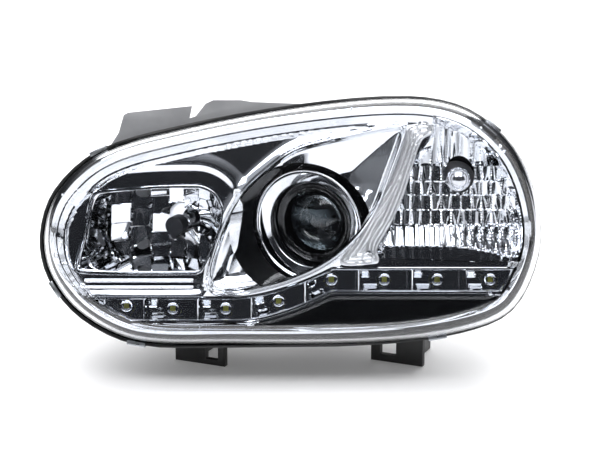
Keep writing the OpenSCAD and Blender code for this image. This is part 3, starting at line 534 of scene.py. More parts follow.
def rounded(points: Sequence[Point], radius: float, steps: int = 4) -> list[Point]:
    """Round the inner corners of an open profile.

    Args:
        points: The profile's corners.
        radius: How far from a corner its rounding starts.
        steps: Points in a rounding, less one.

    Returns:
        The profile with each corner as a small curve.
    """
    p = np.asarray(points, float)
    out = [tuple(p[0])]
    for before, here, after in zip(p, p[1:], p[2:]):
        ends = []
        for far in (before, after):
            length = np.linalg.norm(far - here)
            ends.append(here + (far - here) * min(radius, 0.45 * length) / length)
        for t in np.linspace(0, 1, steps + 1):
            out.append(tuple((1 - t) ** 2 * ends[0] + 2 * t * (1 - t) * here + t * t * ends[1]))
    out.append(tuple(p[-1]))
    return out


def sheet(name: str, border: Outline, holes: Sequence[Outline], creases: Sequence[Outline],
          height: Relief, pitch: float, wall: float) -> Piece:
    """Lay a triangle net over a flat region, lift it to a height and give it a wall behind.

    Args:
        name: Name of the piece.
        border: Edge of the region.
        holes: Edges of its openings.
        creases: Curves that the net follows.
        height: Gives the depth for rows of x and z.
        pitch: Distance between the points of the net.
        wall: Thickness towards the rear, or zero for an open skin.

    Returns:
        The piece, in the border's own units.
    """
    border = border.resampled(pitch)
    holes = [h.resampled(pitch) for h in holes]
    loops = (border, *holes, *(c.resampled(pitch) for c in creases))

    def within(p: Array) -> Array:
        """Tell which points lie in the region."""
        return np.all([border.depth(p) > 0, *(hole.depth(p) < 0 for hole in holes)], axis=0)

    drawn = np.vstack([loop.points for loop in loops])
    tree = KDTree(len(drawn))
    for i, (x, z) in enumerate(drawn):
        tree.insert((x, 0, z), i)
    tree.balance()
    low = border.points.min(0)
    high = border.points.max(0)
    row_pitch = pitch * 0.87
    clear = pitch * 0.7
    columns = np.arange(low[0], high[0], pitch)
    net = np.vstack([np.column_stack([columns + (i % 2) * pitch / 2, np.full(len(columns), z)])
                     for i, z in enumerate(np.arange(low[1], high[1], row_pitch))])
    net = net[np.array([tree.find((x, 0, z))[2] > clear for x, z in net])]
    net = net[within(net)]
    edges = []
    start = len(net)
    for loop in loops:
        count = len(loop.points)
        edges += [(start + i, start + (i + 1) % count) for i in range(count)]
        start += count
    flat = [Vector(p) for p in np.vstack([net, drawn])]
    spots, _, faces, _, _, _ = delaunay_2d_cdt(flat, edges, [], 0, 1e-4)
    spots = np.array([tuple(s) for s in spots])
    faces = np.array([f for f in faces if len(f) == 3])
    faces = faces[within(spots[faces].mean(1))]
    used, inverse = np.unique(faces, return_inverse=True)
    spots = spots[used]
    mesh = bpy.data.meshes.new(name)
    solid = np.column_stack([spots[:, 0], height(spots), spots[:, 1]])
    mesh.from_pydata(solid.tolist(), [], inverse.reshape(-1, 3).tolist())
    piece = bpy.data.objects.new(name, mesh)
    bpy.context.scene.collection.objects.link(piece)
    if wall:
        finish_with(piece, "SOLIDIFY", thickness=wall, offset=-1.0)
    return piece


# Outlines of the face that several pieces share
HALF_FACE = np.array([192.5, 96.5])
RIM = Outline.smooth(HALF_FACE * [
    (-0.999, -0.113), (-0.942, 0.251), (-0.767, 0.568), (-0.458, 0.758), (0.038, 0.937), (0.475, 1),
    (0.713, 0.897), (0.892, 0.592), (0.983, 0.172), (0.991, -0.263), (0.884, -0.707), (0.673, -0.889),
    (0.324, -0.98), (-0.239, -1), (-0.616, -0.976), (-0.835, -0.77), (-0.965, -0.453),
])
LEAF = Outline.smooth([
    (-63, -46), (-54, -12), (-38, 20), (-18, 40), (5, 55.5), (45, 66), (80, 73), (87, 71), (84, 60), (76, 38),
    (66, 12), (54, -7), (40, -22), (28, -31), (14, -38.5), (-4, -45.5), (-22, -50.5), (-42, -54), (-58, -53),
])
WINDOW = Outline.smooth([
    (-164, -36), (-158, -10), (-152, 19), (-146, 23), (-72, 27), (-58, 21), (-52, 6), (-58, -16),
    (-68, -37), (-74, -39.5), (-156, -39),
])
CHAMBER = Outline.smooth([
    (66, -27), (73, 0), (83, 26), (91, 45), (106, 63), (112, 92), (150, 115), (215, 70), (220, -10),
    (200, -29), (72, -29),
]).clipped(RIM.grown(more=-13))
TRIM = Outline.smooth([
    (38, -32), (50, -12), (59, 4.6), (68, 17), (74, 27), (81, 43), (86, 60), (89, 72), (97, 76), (108, 75.5),
    (109.5, 68), (101, 62.5), (94, 43), (86.5, 20), (77, -2), (68, -17), (66.5, -23), (68, -29), (66, -32),
])
# The daytime strip: half its height, its bend, and how far it stays inside the rim
STRIP_HALF = 10.0
STRIP_BEND = (-42.0, 32.0)
STRIP_Z = -67.3
STRIP_RISE = 22.5
STRIP_EASE = 1.65
STRIP_INSET = 15
# Runs of x along the strip, each with its number of points
STRIP_RUNS = ((-165, -42, 30), (-40, 34, 50), (40, 180, 30))
# The black panel under the strip: its left end, points along its bend and the gap between the two
INFILL_X = -34
INFILL_STEPS = 34
INFILL_GAP = 2.2


def strip_middle(x: Array | float) -> Array:
    """Height of the daytime strip's middle line at x."""
    return STRIP_Z + STRIP_RISE * np.interp(x, STRIP_BEND, (0, 1)) ** STRIP_EASE


def strip_outline(more: float) -> Outline:
    """Draw the edge of the daytime strip.

    Args:
        more: Distance that it is grown by.

    Returns:
        The edge.
    """
    x = np.concatenate([np.linspace(*run) for run in STRIP_RUNS])
    top = np.column_stack([x, strip_middle(x) + STRIP_HALF + more])
    bottom = np.column_stack([x, strip_middle(x) - STRIP_HALF - more])[::-1]
    return Outline(np.vstack([top, bottom])).clipped(RIM.grown(more - STRIP_INSET))


def infill_outline(more: float) -> Outline:
    """Draw the edge of the black panel under the strip.

    Args:
        more: Distance that it is grown by.

    Returns:
        The edge.
    """
    left = INFILL_X - more
    bend, last = STRIP_RUNS[1:]
    x = np.concatenate([np.linspace(left, bend[1], INFILL_STEPS), np.linspace(*last)])
    top = np.column_stack([x, strip_middle(x) - STRIP_HALF - INFILL_GAP + more])
    foot = [(last[1], -HALF_FACE[1]), (left, -HALF_FACE[1])]
    return Outline(np.vstack([top, foot])).clipped(RIM.grown(more - STRIP_INSET))


# Lamps behind the bezel, in the car's frame: axes as x and z, and depths
LOW_AXIS = (0.824, -11.145)
LOW_Y = 31.095
HIGH_AXIS = (-98.565, -13.731)
HIGH_VERTEX = 27.69
# The high beam's front plane and a point inside its opening, in the face's frame
HIGH_FRONT = 28.2
HIGH_MIDDLE = (-108.0, -8.0)


def ellipse(at: Point, half: Point, parts: int = 96) -> Outline:
    """An ellipse from its middle and half axes, clockwise unless one of these is negative."""
    a = -angles(parts)
    return Outline(np.column_stack([at[0] + half[0] * np.cos(a), at[1] + half[1] * np.sin(a)]))


def step_up(value: Array, start: float, stop: float) -> Array:
    """Go smoothly from zero to one between two values."""
    t = np.clip((value - start) / (stop - start), 0, 1)
    return t * t * (3 - 2 * t)


def ribs(value: Array, pitch: float, rise: float | Array) -> Array:
    """Height of round ribs side by side, zero in the creases."""
    u = np.mod(value / pitch, 1.0) - 0.5
    return rise * (1 - 4 * u * u)


@dataclass(frozen=True)
class SoftBox:
    """One soft light, placed round the lamp as seen from the camera, in degrees, metres and watts."""

    side_deg: float
    up_deg: float
    away: float
    width: float
    height: float
    power: float


@dataclass
class Studio:
    """Paper floor, soft boxes and the camera."""

    camera_at: Triple = (7.4, -1400.0, -2.5)
    focal_mm: float = 110.0
    sensor_mm: float = 36.0
    aim: Triple = (0.0, 0.0, 0.13)
    floor_half: float = 6.0
    floor_z: float = -0.0005
    room: tuple[tuple[float, str], ...] = ((0.36, "#26272a"), (0.66, "#a9aaad"), (0.98, "#dcdde0"))
    boxes: tuple[SoftBox, ...] = (
        SoftBox(0, 86, 1.5, 1.8, 1.4, 12),
        SoftBox(180, 50, 2.8, 3.4, 2.2, 78),
        SoftBox(0, 50, 1.8, 2.0, 0.6, 20),
        SoftBox(-76, 20, 1.6, 0.9, 1.2, 5),
        SoftBox(76, 22, 1.6, 0.9, 1.2, 5),
    )

    def build(self) -> None:
        """Make the floor, the lights, the world and the camera."""
        self.lay_floor()
        for number, box in enumerate(self.boxes):
            self.hang(box, f"soft_box_{number}")
        self.surround()
        self.point_camera()

    def lay_floor(self) -> None:
        """Lay the paper floor at the lamp's feet."""
        only()
        bpy.ops.mesh.primitive_plane_add(size=2 * self.floor_half, location=(0, 0, self.floor_z))
        floor = bpy.context.object
        floor.name = "paper_floor"
        bpy.ops.object.transform_apply(location=True)
        dress(floor, "paper")

    def hang(self, box: SoftBox, name: str) -> None:
        """Hang one soft box and aim it at the lamp.

        Args:
            box: Its place, size and power.
            name: Name of the light.
        """
        side = SWEEP + math.radians(box.side_deg)
        up = math.radians(box.up_deg)
        level = math.cos(up)
        way = Vector((level * math.sin(side), -level * math.cos(side), math.sin(up)))
        data = bpy.data.lights.new(name, "AREA")
        data.shape = "RECTANGLE"
        data.size = box.width
        data.size_y = box.height
        data.energy = box.power
        light = bpy.data.objects.new(name, data)
        light.location = Vector(self.aim) + box.away * way
        light.rotation_euler = (-way).to_track_quat("-Z", "Y").to_euler()
        bpy.context.scene.collection.objects.link(light)

    def surround(self) -> None:
        """Make a room that is dark low down and grows paler towards its ceiling."""
        world = bpy.data.worlds.new("studio_room")
        world.use_nodes = True
        tree = world.node_tree
        tree.nodes.clear()
        way = add_node(tree, "ShaderNodeTexCoord").outputs["Generated"]
        up = add_node(tree, "ShaderNodeSeparateXYZ", links={0: way}).outputs["Z"]
        ramp = add_node(tree, "ShaderNodeValToRGB", {"stops": self.room}, {"Fac": up})
        light = add_node(tree, "ShaderNodeBackground", links={"Color": ramp.outputs["Color"]})
        add_node(tree, "ShaderNodeOutputWorld", links={"Surface": light.outputs[0]})
        bpy.context.scene.world = world

    def point_camera(self) -> None:
        """Set the camera square to the lamp's face, as in the photograph."""
        data = bpy.data.cameras.new("camera")
        data.lens = self.focal_mm
        data.sensor_width = self.sensor_mm
        camera = bpy.data.objects.new("camera", data)
        turn = FACE_TO_CAR.to_3x3() @ Matrix.Rotation(math.radians(90), 3, "X")
        camera.matrix_world = Matrix.Translation(Place.FACE.matrix @ Vector(self.camera_at)) @ turn.to_4x4()
        bpy.context.scene.collection.objects.link(camera)
        bpy.context.scene.camera = camera
        bpy.context.scene.view_settings.view_transform = "Standard"


@dataclass
class LensCover:
    """The clear cover with its deep rounded edge."""

    pitch: float = 4.5
    # The seat, the lip in front of it, the rounded edge as part of an ellipse, and the dome over the face
    inset: float = 2.5
    seat_y: Numbers = (16.0, 12.0, 8.0, 6.2)
    lip_y: float = 5.2
    drift: Point = (-1.5, -0.5)
    edge_y: float = 2.0
    edge: float = 14.0
    edge_depth: float = 17.0
    edge_turn: float = 74.0
    edge_rings: int = 22
    dome: float = 4.0
    dome_rings: int = 16
    dome_tip: float = 0.02
    wall: float = 2.8

    def build(self) -> None:
        """Make the cover."""
        base = RIM.resampled(self.pitch)
        inset = self.inset + (base.points / HALF_FACE) @ self.drift
        rings = [base.grown(-self.inset).ring(y) for y in self.seat_y]
        rings.append(base.grown(-inset).ring(self.lip_y))
        for a in np.radians(np.linspace(0, self.edge_turn, self.edge_rings)):
            edge = base.grown(-inset - self.edge * (1 - math.cos(a)))
            rings.append(edge.ring(self.edge_y - self.edge_depth * math.sin(a)))
        last = rings[-1]
        for s in np.linspace(1, self.dome_tip, self.dome_rings)[1:]:
            ring = last * [s, 1, s]
            ring[:, 1] = last[0, 1] - self.dome * (1 - s * s)
            rings.append(ring)
        cover = loft("clear_cover", rings, End.DOME, self.wall, offset=-1.0)
        settle(cover, "clear_polycarbonate", ["lens_cover"], sharp=60)


@dataclass
class Bezel:
    """The chromed bezel: stepped border, field, leaf-shaped recess, window collar and louvres."""

    # Pitch and wall of the net, and the wall of thinner pieces
    net: Point = (1.15, 1.8)
    thin: float = 0.8
    # Where the border ends inside the rim, and the depths of its bands by the distance from there
    inset: float = 9.5
    foot_inset: float = 3.0
    foot_z: float = -60.0
    squeeze: Point = (0.45, 1.0)
    squeeze_z: Point = (-70.0, 30.0)
    band_e: Numbers = (0, 4.5, 5.8, 11, 12.5)
    band_y: Numbers = (-4, -0.8, -0.8, 2.6, 2.6)
    band_end: Point = (12.5, 16.0)
    # The field, which stands proud away from the window
    field_y: float = 6.0
    field_rise: float = 1.7
    field_away: Point = (11.5, 17.0)
    field_curve: Point = (0.011, 9.0)
    window_creases: Numbers = (11.5, 13, 14.25, 15.5, 17)
    # The leaf's rail with the swell beside it, then its wall, step and crown
    leaf_creases: Numbers = (4, 2.6, 1.6, 0.8, 0, -0.8, -1.6, -2.6, -12, -14)
    rail: Point = (2.0, 1.5)
    swell: float = 3.0
    swell_e: Point = (10.0, 18.0)
    swell_wide: Point = (5.0, 2.0)
    leaf_wide: float = 12.0
    leaf_drop: Triple = (6.5, 2.0, 0.4)
    leaf_drop_z: Triple = (-48.0, -6.0, 22.0)
    leaf_step: Point = (2.0, 7.4)
    leaf_step_z: Point = (10.0, 30.0)
    crown: Point = (27.0, 9.0)
    crown_x: Point = (0.0, 25.0)
    crown_z: Point = (0.0, 30.0)
    # The opening for the projector and the dark throat behind it
    ring_at: Point = (7.9, -6.7)
    ring_half: Point = (54.7, 51.8)
    ring_inset: float = 1.2
    throat_parts: int = 160
    throat_front: float = 19.0
    throat_gap: float = 1.0
    throat_crown: Point = (0.0, 20.0)
    throat_r: float = 49.5
    throat_pinch: float = 3.0
    throat_sunk: Point = (24.0, 34.0)
    throat_y: Point = (21.0, 22.5)
    throat_clear: float = 2.5
    throat_rings: Numbers = (0, 0.3, 0.6, 0.9, 1)
    # The collar round the window, and the tunnel behind it with two beads
    collar: Points = ((0.9, 6.3), (0.75, 5.3), (0.35, 4.8), (-0.15, 4.8), (-0.5, 5.3), (-0.65, 6.5),
                      (-0.9, 9.0))
    collar_pitch: float = 2.0
    tunnel_parts: int = 180
    tunnel_y: Point = (8.0, 21.5)
    tunnel_beads: Points = ((0, 0), (0.16, 0), (0.18, 0.7), (0.22, 0.7), (0.24, 0), (0.86, 0), (0.9, 0.8),
                            (1, 0.8))
    # The louvre bars
    louvre_z: Point = (-45.0, -50.3)
    louvre_x: Point = (-158.0, -74.0)
    louvre_y: float = 6.2
    louvre_half: Point = (3.0, 1.5)
    louvre_parts: int = 13
    louvre_ends: Points = ((0.0, 0.5), (0.3, 0.8), (0.9, 0.97), (1.5, 1.0))

    def build(self) -> None:
        """Make the bezel, its collar, tunnel and throat, and the louvres."""
        inset = self.border(RIM.points)
        holes = [WINDOW.grown(more=0.6), strip_outline(more=0.4), infill_outline(more=0.4)]
        holes += [CHAMBER.grown(more=-0.5), self.opening()]
        bands = (*self.band_e[1:], *np.linspace(*self.band_end, 3)[1:])
        creases = [LEAF.grown(d) for d in self.leaf_creases] + [WINDOW.grown(d) for d in self.window_creases]
        creases += [RIM.grown(-inset - e * self.narrowing(RIM.points)) for e in bands]
        bezel = sheet("bezel_shell", RIM.grown(-inset), holes, creases, self.height, *self.net)
        settle(bezel, "chromed_plastic", ["bezel"], sharp=26)
        base = WINDOW.resampled(self.collar_pitch)
        rings = [base.grown(d).ring(y) for d, y in self.collar]
        collar = loft("window_collar", rings, End.OPEN, self.thin)
        settle(collar, "chromed_plastic")
        self.tunnel()
        self.sleeve()
        self.louvres()

    def border(self, p: Array) -> Array:
        """How far inside the rim the bezel ends: further in along the foot."""
        return self.inset + self.foot_inset * np.clip(p[:, 1] / self.foot_z, 0, 1)

    def narrowing(self, p: Array) -> Array:
        """Width of the border's bands beside their width along the top."""
        return np.interp(p[:, 1], self.squeeze_z, self.squeeze)

    def opening(self) -> Outline:
        """Edge of the leaf's opening for the projector."""
        return LEAF.grown(-self.ring_inset).clipped(ellipse(self.ring_at, self.ring_half))

    def tunnel(self) -> None:
        """Make the walls between the window and the front of the high-beam bowl."""
        window = WINDOW.grown(more=-0.9)
        # The bowl's edge, carried along the car to the plane of its front
        x, z = HighBeam().border().grown(more=-1.0).points.T
        depth = (HIGH_FRONT - FACE_TURN[0, 1] * x - FACE_TURN[2, 1] * z) / FACE_TURN[1, 1]
        bowl = Outline((np.column_stack([x, depth, z]) @ FACE_TURN)[:, [0, 2]])
        front, back = (o.fanned(HIGH_MIDDLE, self.tunnel_parts).points for o in (window, bowl))
        near, far = self.tunnel_y
        rings = [Outline(front + (back - front) * t).grown(-rise).ring(near + (far - near) * t)
                 for t, rise in self.tunnel_beads]
        walls = loft("window_tunnel", rings, End.OPEN, self.thin)
        settle(walls, "chromed_plastic", sharp=20)

    def sleeve(self) -> None:
        """Make the dark throat between the leaf's floor and the projector's ring."""
        edge = self.opening().fanned(self.ring_at, self.throat_parts)
        x, z = edge.points.T
        crown = step_up(x, *self.throat_crown) * step_up(z, *self.throat_crown)
        lift = self.height(edge.points) + self.throat_gap - self.throat_front
        front = edge.ring(self.throat_front + lift * crown)
        a = -angles(self.throat_parts)
        spokes = np.column_stack([np.cos(a), np.zeros(len(a)), np.sin(a)])
        middle = np.array([LOW_AXIS[0], LOW_Y, LOW_AXIS[1]])
        sunk = ((middle + self.throat_r * spokes) @ FACE_TURN)[:, 1]
        reach = self.throat_r - self.throat_pinch * step_up(sunk, *self.throat_sunk)
        back = (middle + reach[:, None] * spokes) @ FACE_TURN
        back[:, 1] = np.clip(back[:, 1], *self.throat_y)
        back[:, 2] = np.maximum(back[:, 2], strip_middle(back[:, 0]) + STRIP_HALF + self.throat_clear)
        rings = [front + (back - front) * t for t in self.throat_rings]
        throat = loft("leaf_sleeve", rings, End.OPEN, self.thin)
        settle(throat, "gloss_black")

    def height(self, p: Array) -> Array:
        """Depth of the bezel's face behind the lamp's face plane.

        Args:
            p: Rows of x and z.

        Returns:
            The depth of each point.
        """
        x, z = p.T
        e = (RIM.depth(p) - self.border(p)) / self.narrowing(p)
        band = np.interp(e, self.band_e, self.band_y)
        away = -WINDOW.depth(p)
        bend = self.field_curve[0] * np.clip(away - self.field_away[1], 0, self.field_curve[1]) ** 2
        field = self.field_y - self.field_rise * step_up(away, *self.field_away) + bend
        base = band + (field - band) * step_up(e, *self.band_end)
        leaf = LEAF.depth(p)
        rail = self.rail[0] * np.exp(-(leaf / self.rail[1]) ** 2)
        swell_wide = np.where(leaf > 0, self.swell_wide[1], self.swell_wide[0])
        base = base - self.swell * step_up(e, *self.swell_e) * np.exp(-(leaf / swell_wide) ** 2)
        crown = step_up(x, *self.crown_x) * step_up(z, *self.crown_z)
        wall = np.interp(z, self.leaf_drop_z, self.leaf_drop) * np.clip(leaf / self.leaf_wide, 0, 1)
        wall += self.crown[1] * crown * np.clip(leaf / self.crown[0], 0, 1)
        floor = self.leaf_step[1] * np.clip((leaf - self.leaf_wide) / self.leaf_step[0], 0, 1)
        floor *= (1 - crown) * np.interp(z, self.leaf_step_z, (1, 0))
        return base + wall + floor - rail

    def louvres(self) -> None:
        """Make the two round-fronted bars under the window."""
        a = np.linspace(0, math.pi, self.louvre_parts)
        deep, tall = self.louvre_half
        left = [(self.louvre_x[0] + d, s) for d, s in self.louvre_ends]
        right = [(self.louvre_x[1] - d, s) for d, s in self.louvre_ends[::-1]]
        for number, z in enumerate(self.louvre_z):
            rings = [np.column_stack([np.full(len(a), x), self.louvre_y - deep * s * np.sin(a),
                                      z - tall * s * np.cos(a)]) for x, s in left + right]
            bar = loft(f"louvre_{number}", rings, End.FLAT)
            settle(bar, "chromed_plastic", ["louvres"])


@dataclass
class DaytimeStrip:
    """The strip of eight chromed cells with their diodes, and the black panel under it.

    A net is given as its pitch and its wall.
    """

    lip: Points = ((0.0, 24.0), (0.0, 6.4), (0.15, 5.4), (0.7, 4.7), (1.3, 4.7), (1.9, 5.4), (2.05, 6.4),
                   (2.3, 12.0), (2.7, 26.5))
    lip_pitch: float = 2.0
    lip_wall: float = 0.7
    floor_y: float = 26.0
    floor_inset: float = 2.4
    floor_net: Point = (1.1, 1.0)
    first_divider: float = -112.0
    pitch: float = 41.1
    dividers: int = 7
    divider_half: float = 8.6
    divider_section: Points = ((-0.8, 26.5), (-0.7, 7.5), (-0.45, 6.6), (0.0, 6.3), (0.45, 6.6), (0.7, 7.5),
                               (0.8, 26.5))
    # The first diode sits off the middle of its cell, where the strip's end is cut round
    first_shift: Point = (5.0, 2.0)
    cup: Triple = (4.9, 5.2, 1.5)
    # Mirror facets: their ends as shares of a cell, side of the middle line, start and slope
    facets: tuple[Numbers, ...] = ((0.1, 0.34, -1, 3.5, 0.8), (0.06, 0.2, 1, 1.5, 0.7))
    optic_r: float = 4.6
    optic_edge: float = 0.8
    optic_rise: float = 2.0
    optic_turn: Point = (0.0, 1.5)
    optic_y: float = 27.0
    optic_foot: Points = ((0.72, 0.0), (0.98, 0.0), (1.0, -0.6))
    panel_y: float = 5.5
    panel_edge: Point = (0.7, 1.3)
    panel_inset: float = -0.1
    panel_net: Point = (1.4, 2.4)

    def build(self) -> None:
        """Make the tray, the dividers, the optics and the panel."""
        edge = strip_outline(more=0).resampled(self.lip_pitch)
        rim = loft("strip_rim", [edge.grown(-d).ring(y) for d, y in self.lip], End.OPEN, self.lip_wall)
        settle(rim, "chromed_plastic")
        cups = [ellipse(self.led_at(k), (r, r), parts=40)
                for k in range(self.dividers + 1) for r in self.cup[:2]]
        edge = strip_outline(-self.floor_inset)
        floor = sheet("strip_cells", edge, [], cups, self.cells, *self.floor_net)
        settle(floor, "chromed_plastic", ["led_tray"], sharp=18)
        for k in range(self.dividers):
            self.divider(k)
        for k in range(self.dividers + 1):
            self.optic(k)
        edge = infill_outline(self.panel_inset)
        panel = sheet("infill_shell", edge, [], [], self.panel, *self.panel_net)
        settle(panel, "gloss_black", ["infill_panel"])

    def led_at(self, k: int) -> Point:
        """Find the middle of a cell's diode.

        Args:
            k: Number of the cell from the left.

        Returns:
            Its x and z.
        """
        x = self.first_divider + (k - 0.5) * self.pitch
        shift = self.first_shift if k == 0 else (0.0, 0.0)
        return (x + shift[0], float(strip_middle(x)) + shift[1])

    def cells(self, p: Array) -> Array:
        """Depth of the cups and mirror facets at the back of the cells.

        Args:
            p: Rows of x and z.

        Returns:
            The depth of each point.
        """
        cell = np.mod((p[:, 0] - self.first_divider) / self.pitch, 1.0)
        up = p[:, 1] - strip_middle(p[:, 0])
        depth = np.full(len(p), self.floor_y)
        inner, outer, sunk = self.cup
        for k in range(self.dividers + 1):
            away = np.linalg.norm(p - np.array(self.led_at(k)), axis=1)
            depth += sunk * np.clip((outer - away) / (outer - inner), 0, 1)
        for first, last, side, start, slope in self.facets:
            past = np.maximum(side * up - start, 0)
            depth -= np.where((cell > first) & (cell < last), slope * past, 0)
        return depth

    def panel(self, p: Array) -> Array:
        """Depth of the black panel with its raised edge."""
        edge = infill_outline(self.panel_inset).depth(p)
        return self.panel_y - self.panel_edge[0] * np.exp(-(edge / self.panel_edge[1]) ** 2)

    def divider(self, k: int) -> None:
        """Make one wall between two cells, rounded at its front.

        Args:
            k: Number of the wall from the left.
        """
        x = self.first_divider + k * self.pitch
        z = float(strip_middle(x))
        half = self.divider_half
        rings = [np.array([(x + dx, y, z + dz) for dx, y in self.divider_section]) for dz in (-half, half)]
        settle(loft(f"strip_divider_{k}", rings, End.FLAT), "chromed_plastic")

    def optic(self, k: int) -> None:
        """Make one clear dome over a diode.

        Args:
            k: Number of the cell from the left.
        """
        r, y = self.optic_r, self.optic_y
        profile = [(r * share, y + rise) for share, rise in self.optic_foot]
        profile += nose(r, y - self.optic_edge, self.optic_rise, self.optic_turn, steps=10)
        dome = turned(f"led_dome_{k}", self.led_at(k), profile, End.POINT, parts=40)
        settle(dome, "clear_polycarbonate", ["led_optics"], sharp=50)


@dataclass
class IndicatorLamp:
    """The fluted indicator reflector, its clear trim strip and its bulb."""

    # Pitch and wall of the net
    net: Point = (1.2, 1.6)
    inset: float = 0.6
    floor_y: float = 26.0
    # The wall round the edge, which the foot lacks
    edge_y: float = 9.0
    edge_wide: float = 5.0
    foot_z: Point = (-20.0, -24.0)
    # Upright flutes with finer ones on them, higher towards the right
    flute_x: float = 86.0
    flute_mm: float = 7.8
    flute_rise: float = 1.5
    flute_swell: Point = (1.0, 1.6)
    flute_swell_x: Point = (125.0, 165.0)
    fine_rise: float = 0.2
    # Rows of tilted cells, with a slow wave in their tilt that grows to the right
    rows_z: Numbers = (80.0, 43.4, 31.1, 21.2, 9.7, -1.7)
    row_rise: Numbers = (-6.0, 1.1, 1.0, 1.3, 1.2)
    streaks: Triple = (4.0, 0.61, 1.9)
    streaks_share: Point = (0.25, 1.0)
    streaks_x: Point = (92.5, 160.0)
    # The skirt under the rows and the shelf under the skirt, which bends down to the right
    skirt_z: Point = (-3.2, -18.5)
    skirt_y: float = 3.0
    skirt_rise: float = 3.0
    skirt_tilt: float = 6.0
    skirt_flat_x: Point = (112.0, 142.0)
    skirt_wave: float = 0.8
    shelf_y: float = 9.0
    shelf_rise: float = 1.0
    shelf_bend: float = 9.0
    shelf_bend_x: Point = (110.0, 170.0)
    # The bulb and its hole
    hole_at: Point = (131.5, 37.0)
    hole_half: Point = (11.5, 14.5)
    bulb_at: Point = (130.0, 33.0)
    bulb_r: float = 9.5
    bulb_y: float = 21.0
    bulb_turn: Point = (0.1, 1.5)
    bulb_stem: Points = ((6.5, 38.0), (6.8, 33.0), (9.5, 27.0), (9.5, 21.0))
    # The trim strip with its ribs and its two screw bosses
    trim_net: Point = (0.8, 1.6)
    trim_crease: float = 2.0
    trim_y: float = 4.4
    trim_round: Point = (1.9, 4.0)
    trim_ribs: Point = (3.0, 1.0)
    boss_at: Points = ((101.4, 71.6), (59.4, -27.7))
    boss_r: Point = (5.0, 3.8)
    boss_rise: float = 1.6

    def build(self) -> None:
        """Make the reflector, the trim strip and the bulb."""
        hole = ellipse(self.hole_at, self.hole_half)
        edge = CHAMBER.grown(-self.inset)
        reflector = sheet("indicator_shell", edge, [hole], [], self.height, *self.net)
        settle(reflector, "chromed_plastic", ["indicator_reflector"], sharp=22)
        creases = [TRIM.grown(-self.trim_crease)]
        trim = sheet("swoosh_trim", TRIM, [], creases, self.trim, *self.trim_net)
        settle(trim, "clear_polycarbonate", ["trim_strip"], finish="satin", sharp=40)
        ball = nose(self.bulb_r, self.bulb_y, self.bulb_r, self.bulb_turn, steps=12)
        bulb = turned("indicator_glass", self.bulb_at, [*self.bulb_stem, *ball], End.POINT, parts=64)
        settle(bulb, "silvered_glass", ["indicator_bulb"], "indicator_unit", sharp=50)

    def height(self, p: Array) -> Array:
        """Depth of the indicator's flutes and steps.

        Args:
            p: Rows of x and z.

        Returns:
            The depth of each point.
        """
        x, z = p.T
        across = x - self.flute_x
        wave, turn, shift = self.streaks
        wave = wave * np.interp(x, self.streaks_x, self.streaks_share)
        main = np.full(len(p), self.floor_y)
        for row, rise in enumerate(self.row_rise):
            top, foot = self.rows_z[row:row + 2]
            tilt = rise - wave * (1 + np.sin(x * turn + row * shift)) / 2
            main -= np.where((z < top) & (z >= foot), tilt * (1 - (z - foot) / (top - foot)), 0)
        rise = self.flute_rise * np.interp(x, self.flute_swell_x, self.flute_swell)
        main -= ribs(across, self.flute_mm, rise) + ribs(across, self.flute_mm / 3, self.fine_rise)
        high, low = self.skirt_z
        flat = np.interp(x, self.skirt_flat_x, (0, 1)) * (1 + np.sin(x * self.skirt_wave)) / 2
        skirt = self.floor_y - self.skirt_y - ribs(across, self.flute_mm, self.skirt_rise)
        skirt -= self.skirt_tilt * (1 - flat) * (high - z) / (high - low)
        shelf = self.floor_y - self.shelf_y - ribs(across, self.flute_mm, self.shelf_rise)
        curve = low - self.shelf_bend * np.interp(x, self.shelf_bend_x, (0, 1)) ** 2
        deep = np.where(z > high, main, np.where(z > curve, skirt, shelf))
        share = np.maximum(np.clip(CHAMBER.depth(p) / self.edge_wide, 0, 1), step_up(z, *self.foot_z))
        return self.edge_y + (deep - self.edge_y) * share

    def trim(self, p: Array) -> Array:
        """Depth of the clear strip's rounded face.

        Args:
            p: Rows of x and z.

        Returns:
            The depth of each point.
        """
        edge = np.clip(TRIM.depth(p), 0, None)
        rise, wide = self.trim_round
        depth = self.trim_y - rise * np.sqrt(np.clip(edge / wide, 0, 1)) - ribs(edge, *self.trim_ribs)
        for at in self.boss_at:
            away = np.linalg.norm(p - np.array(at), axis=1)
            depth -= self.boss_rise * step_up(away, *self.boss_r)
        return depth


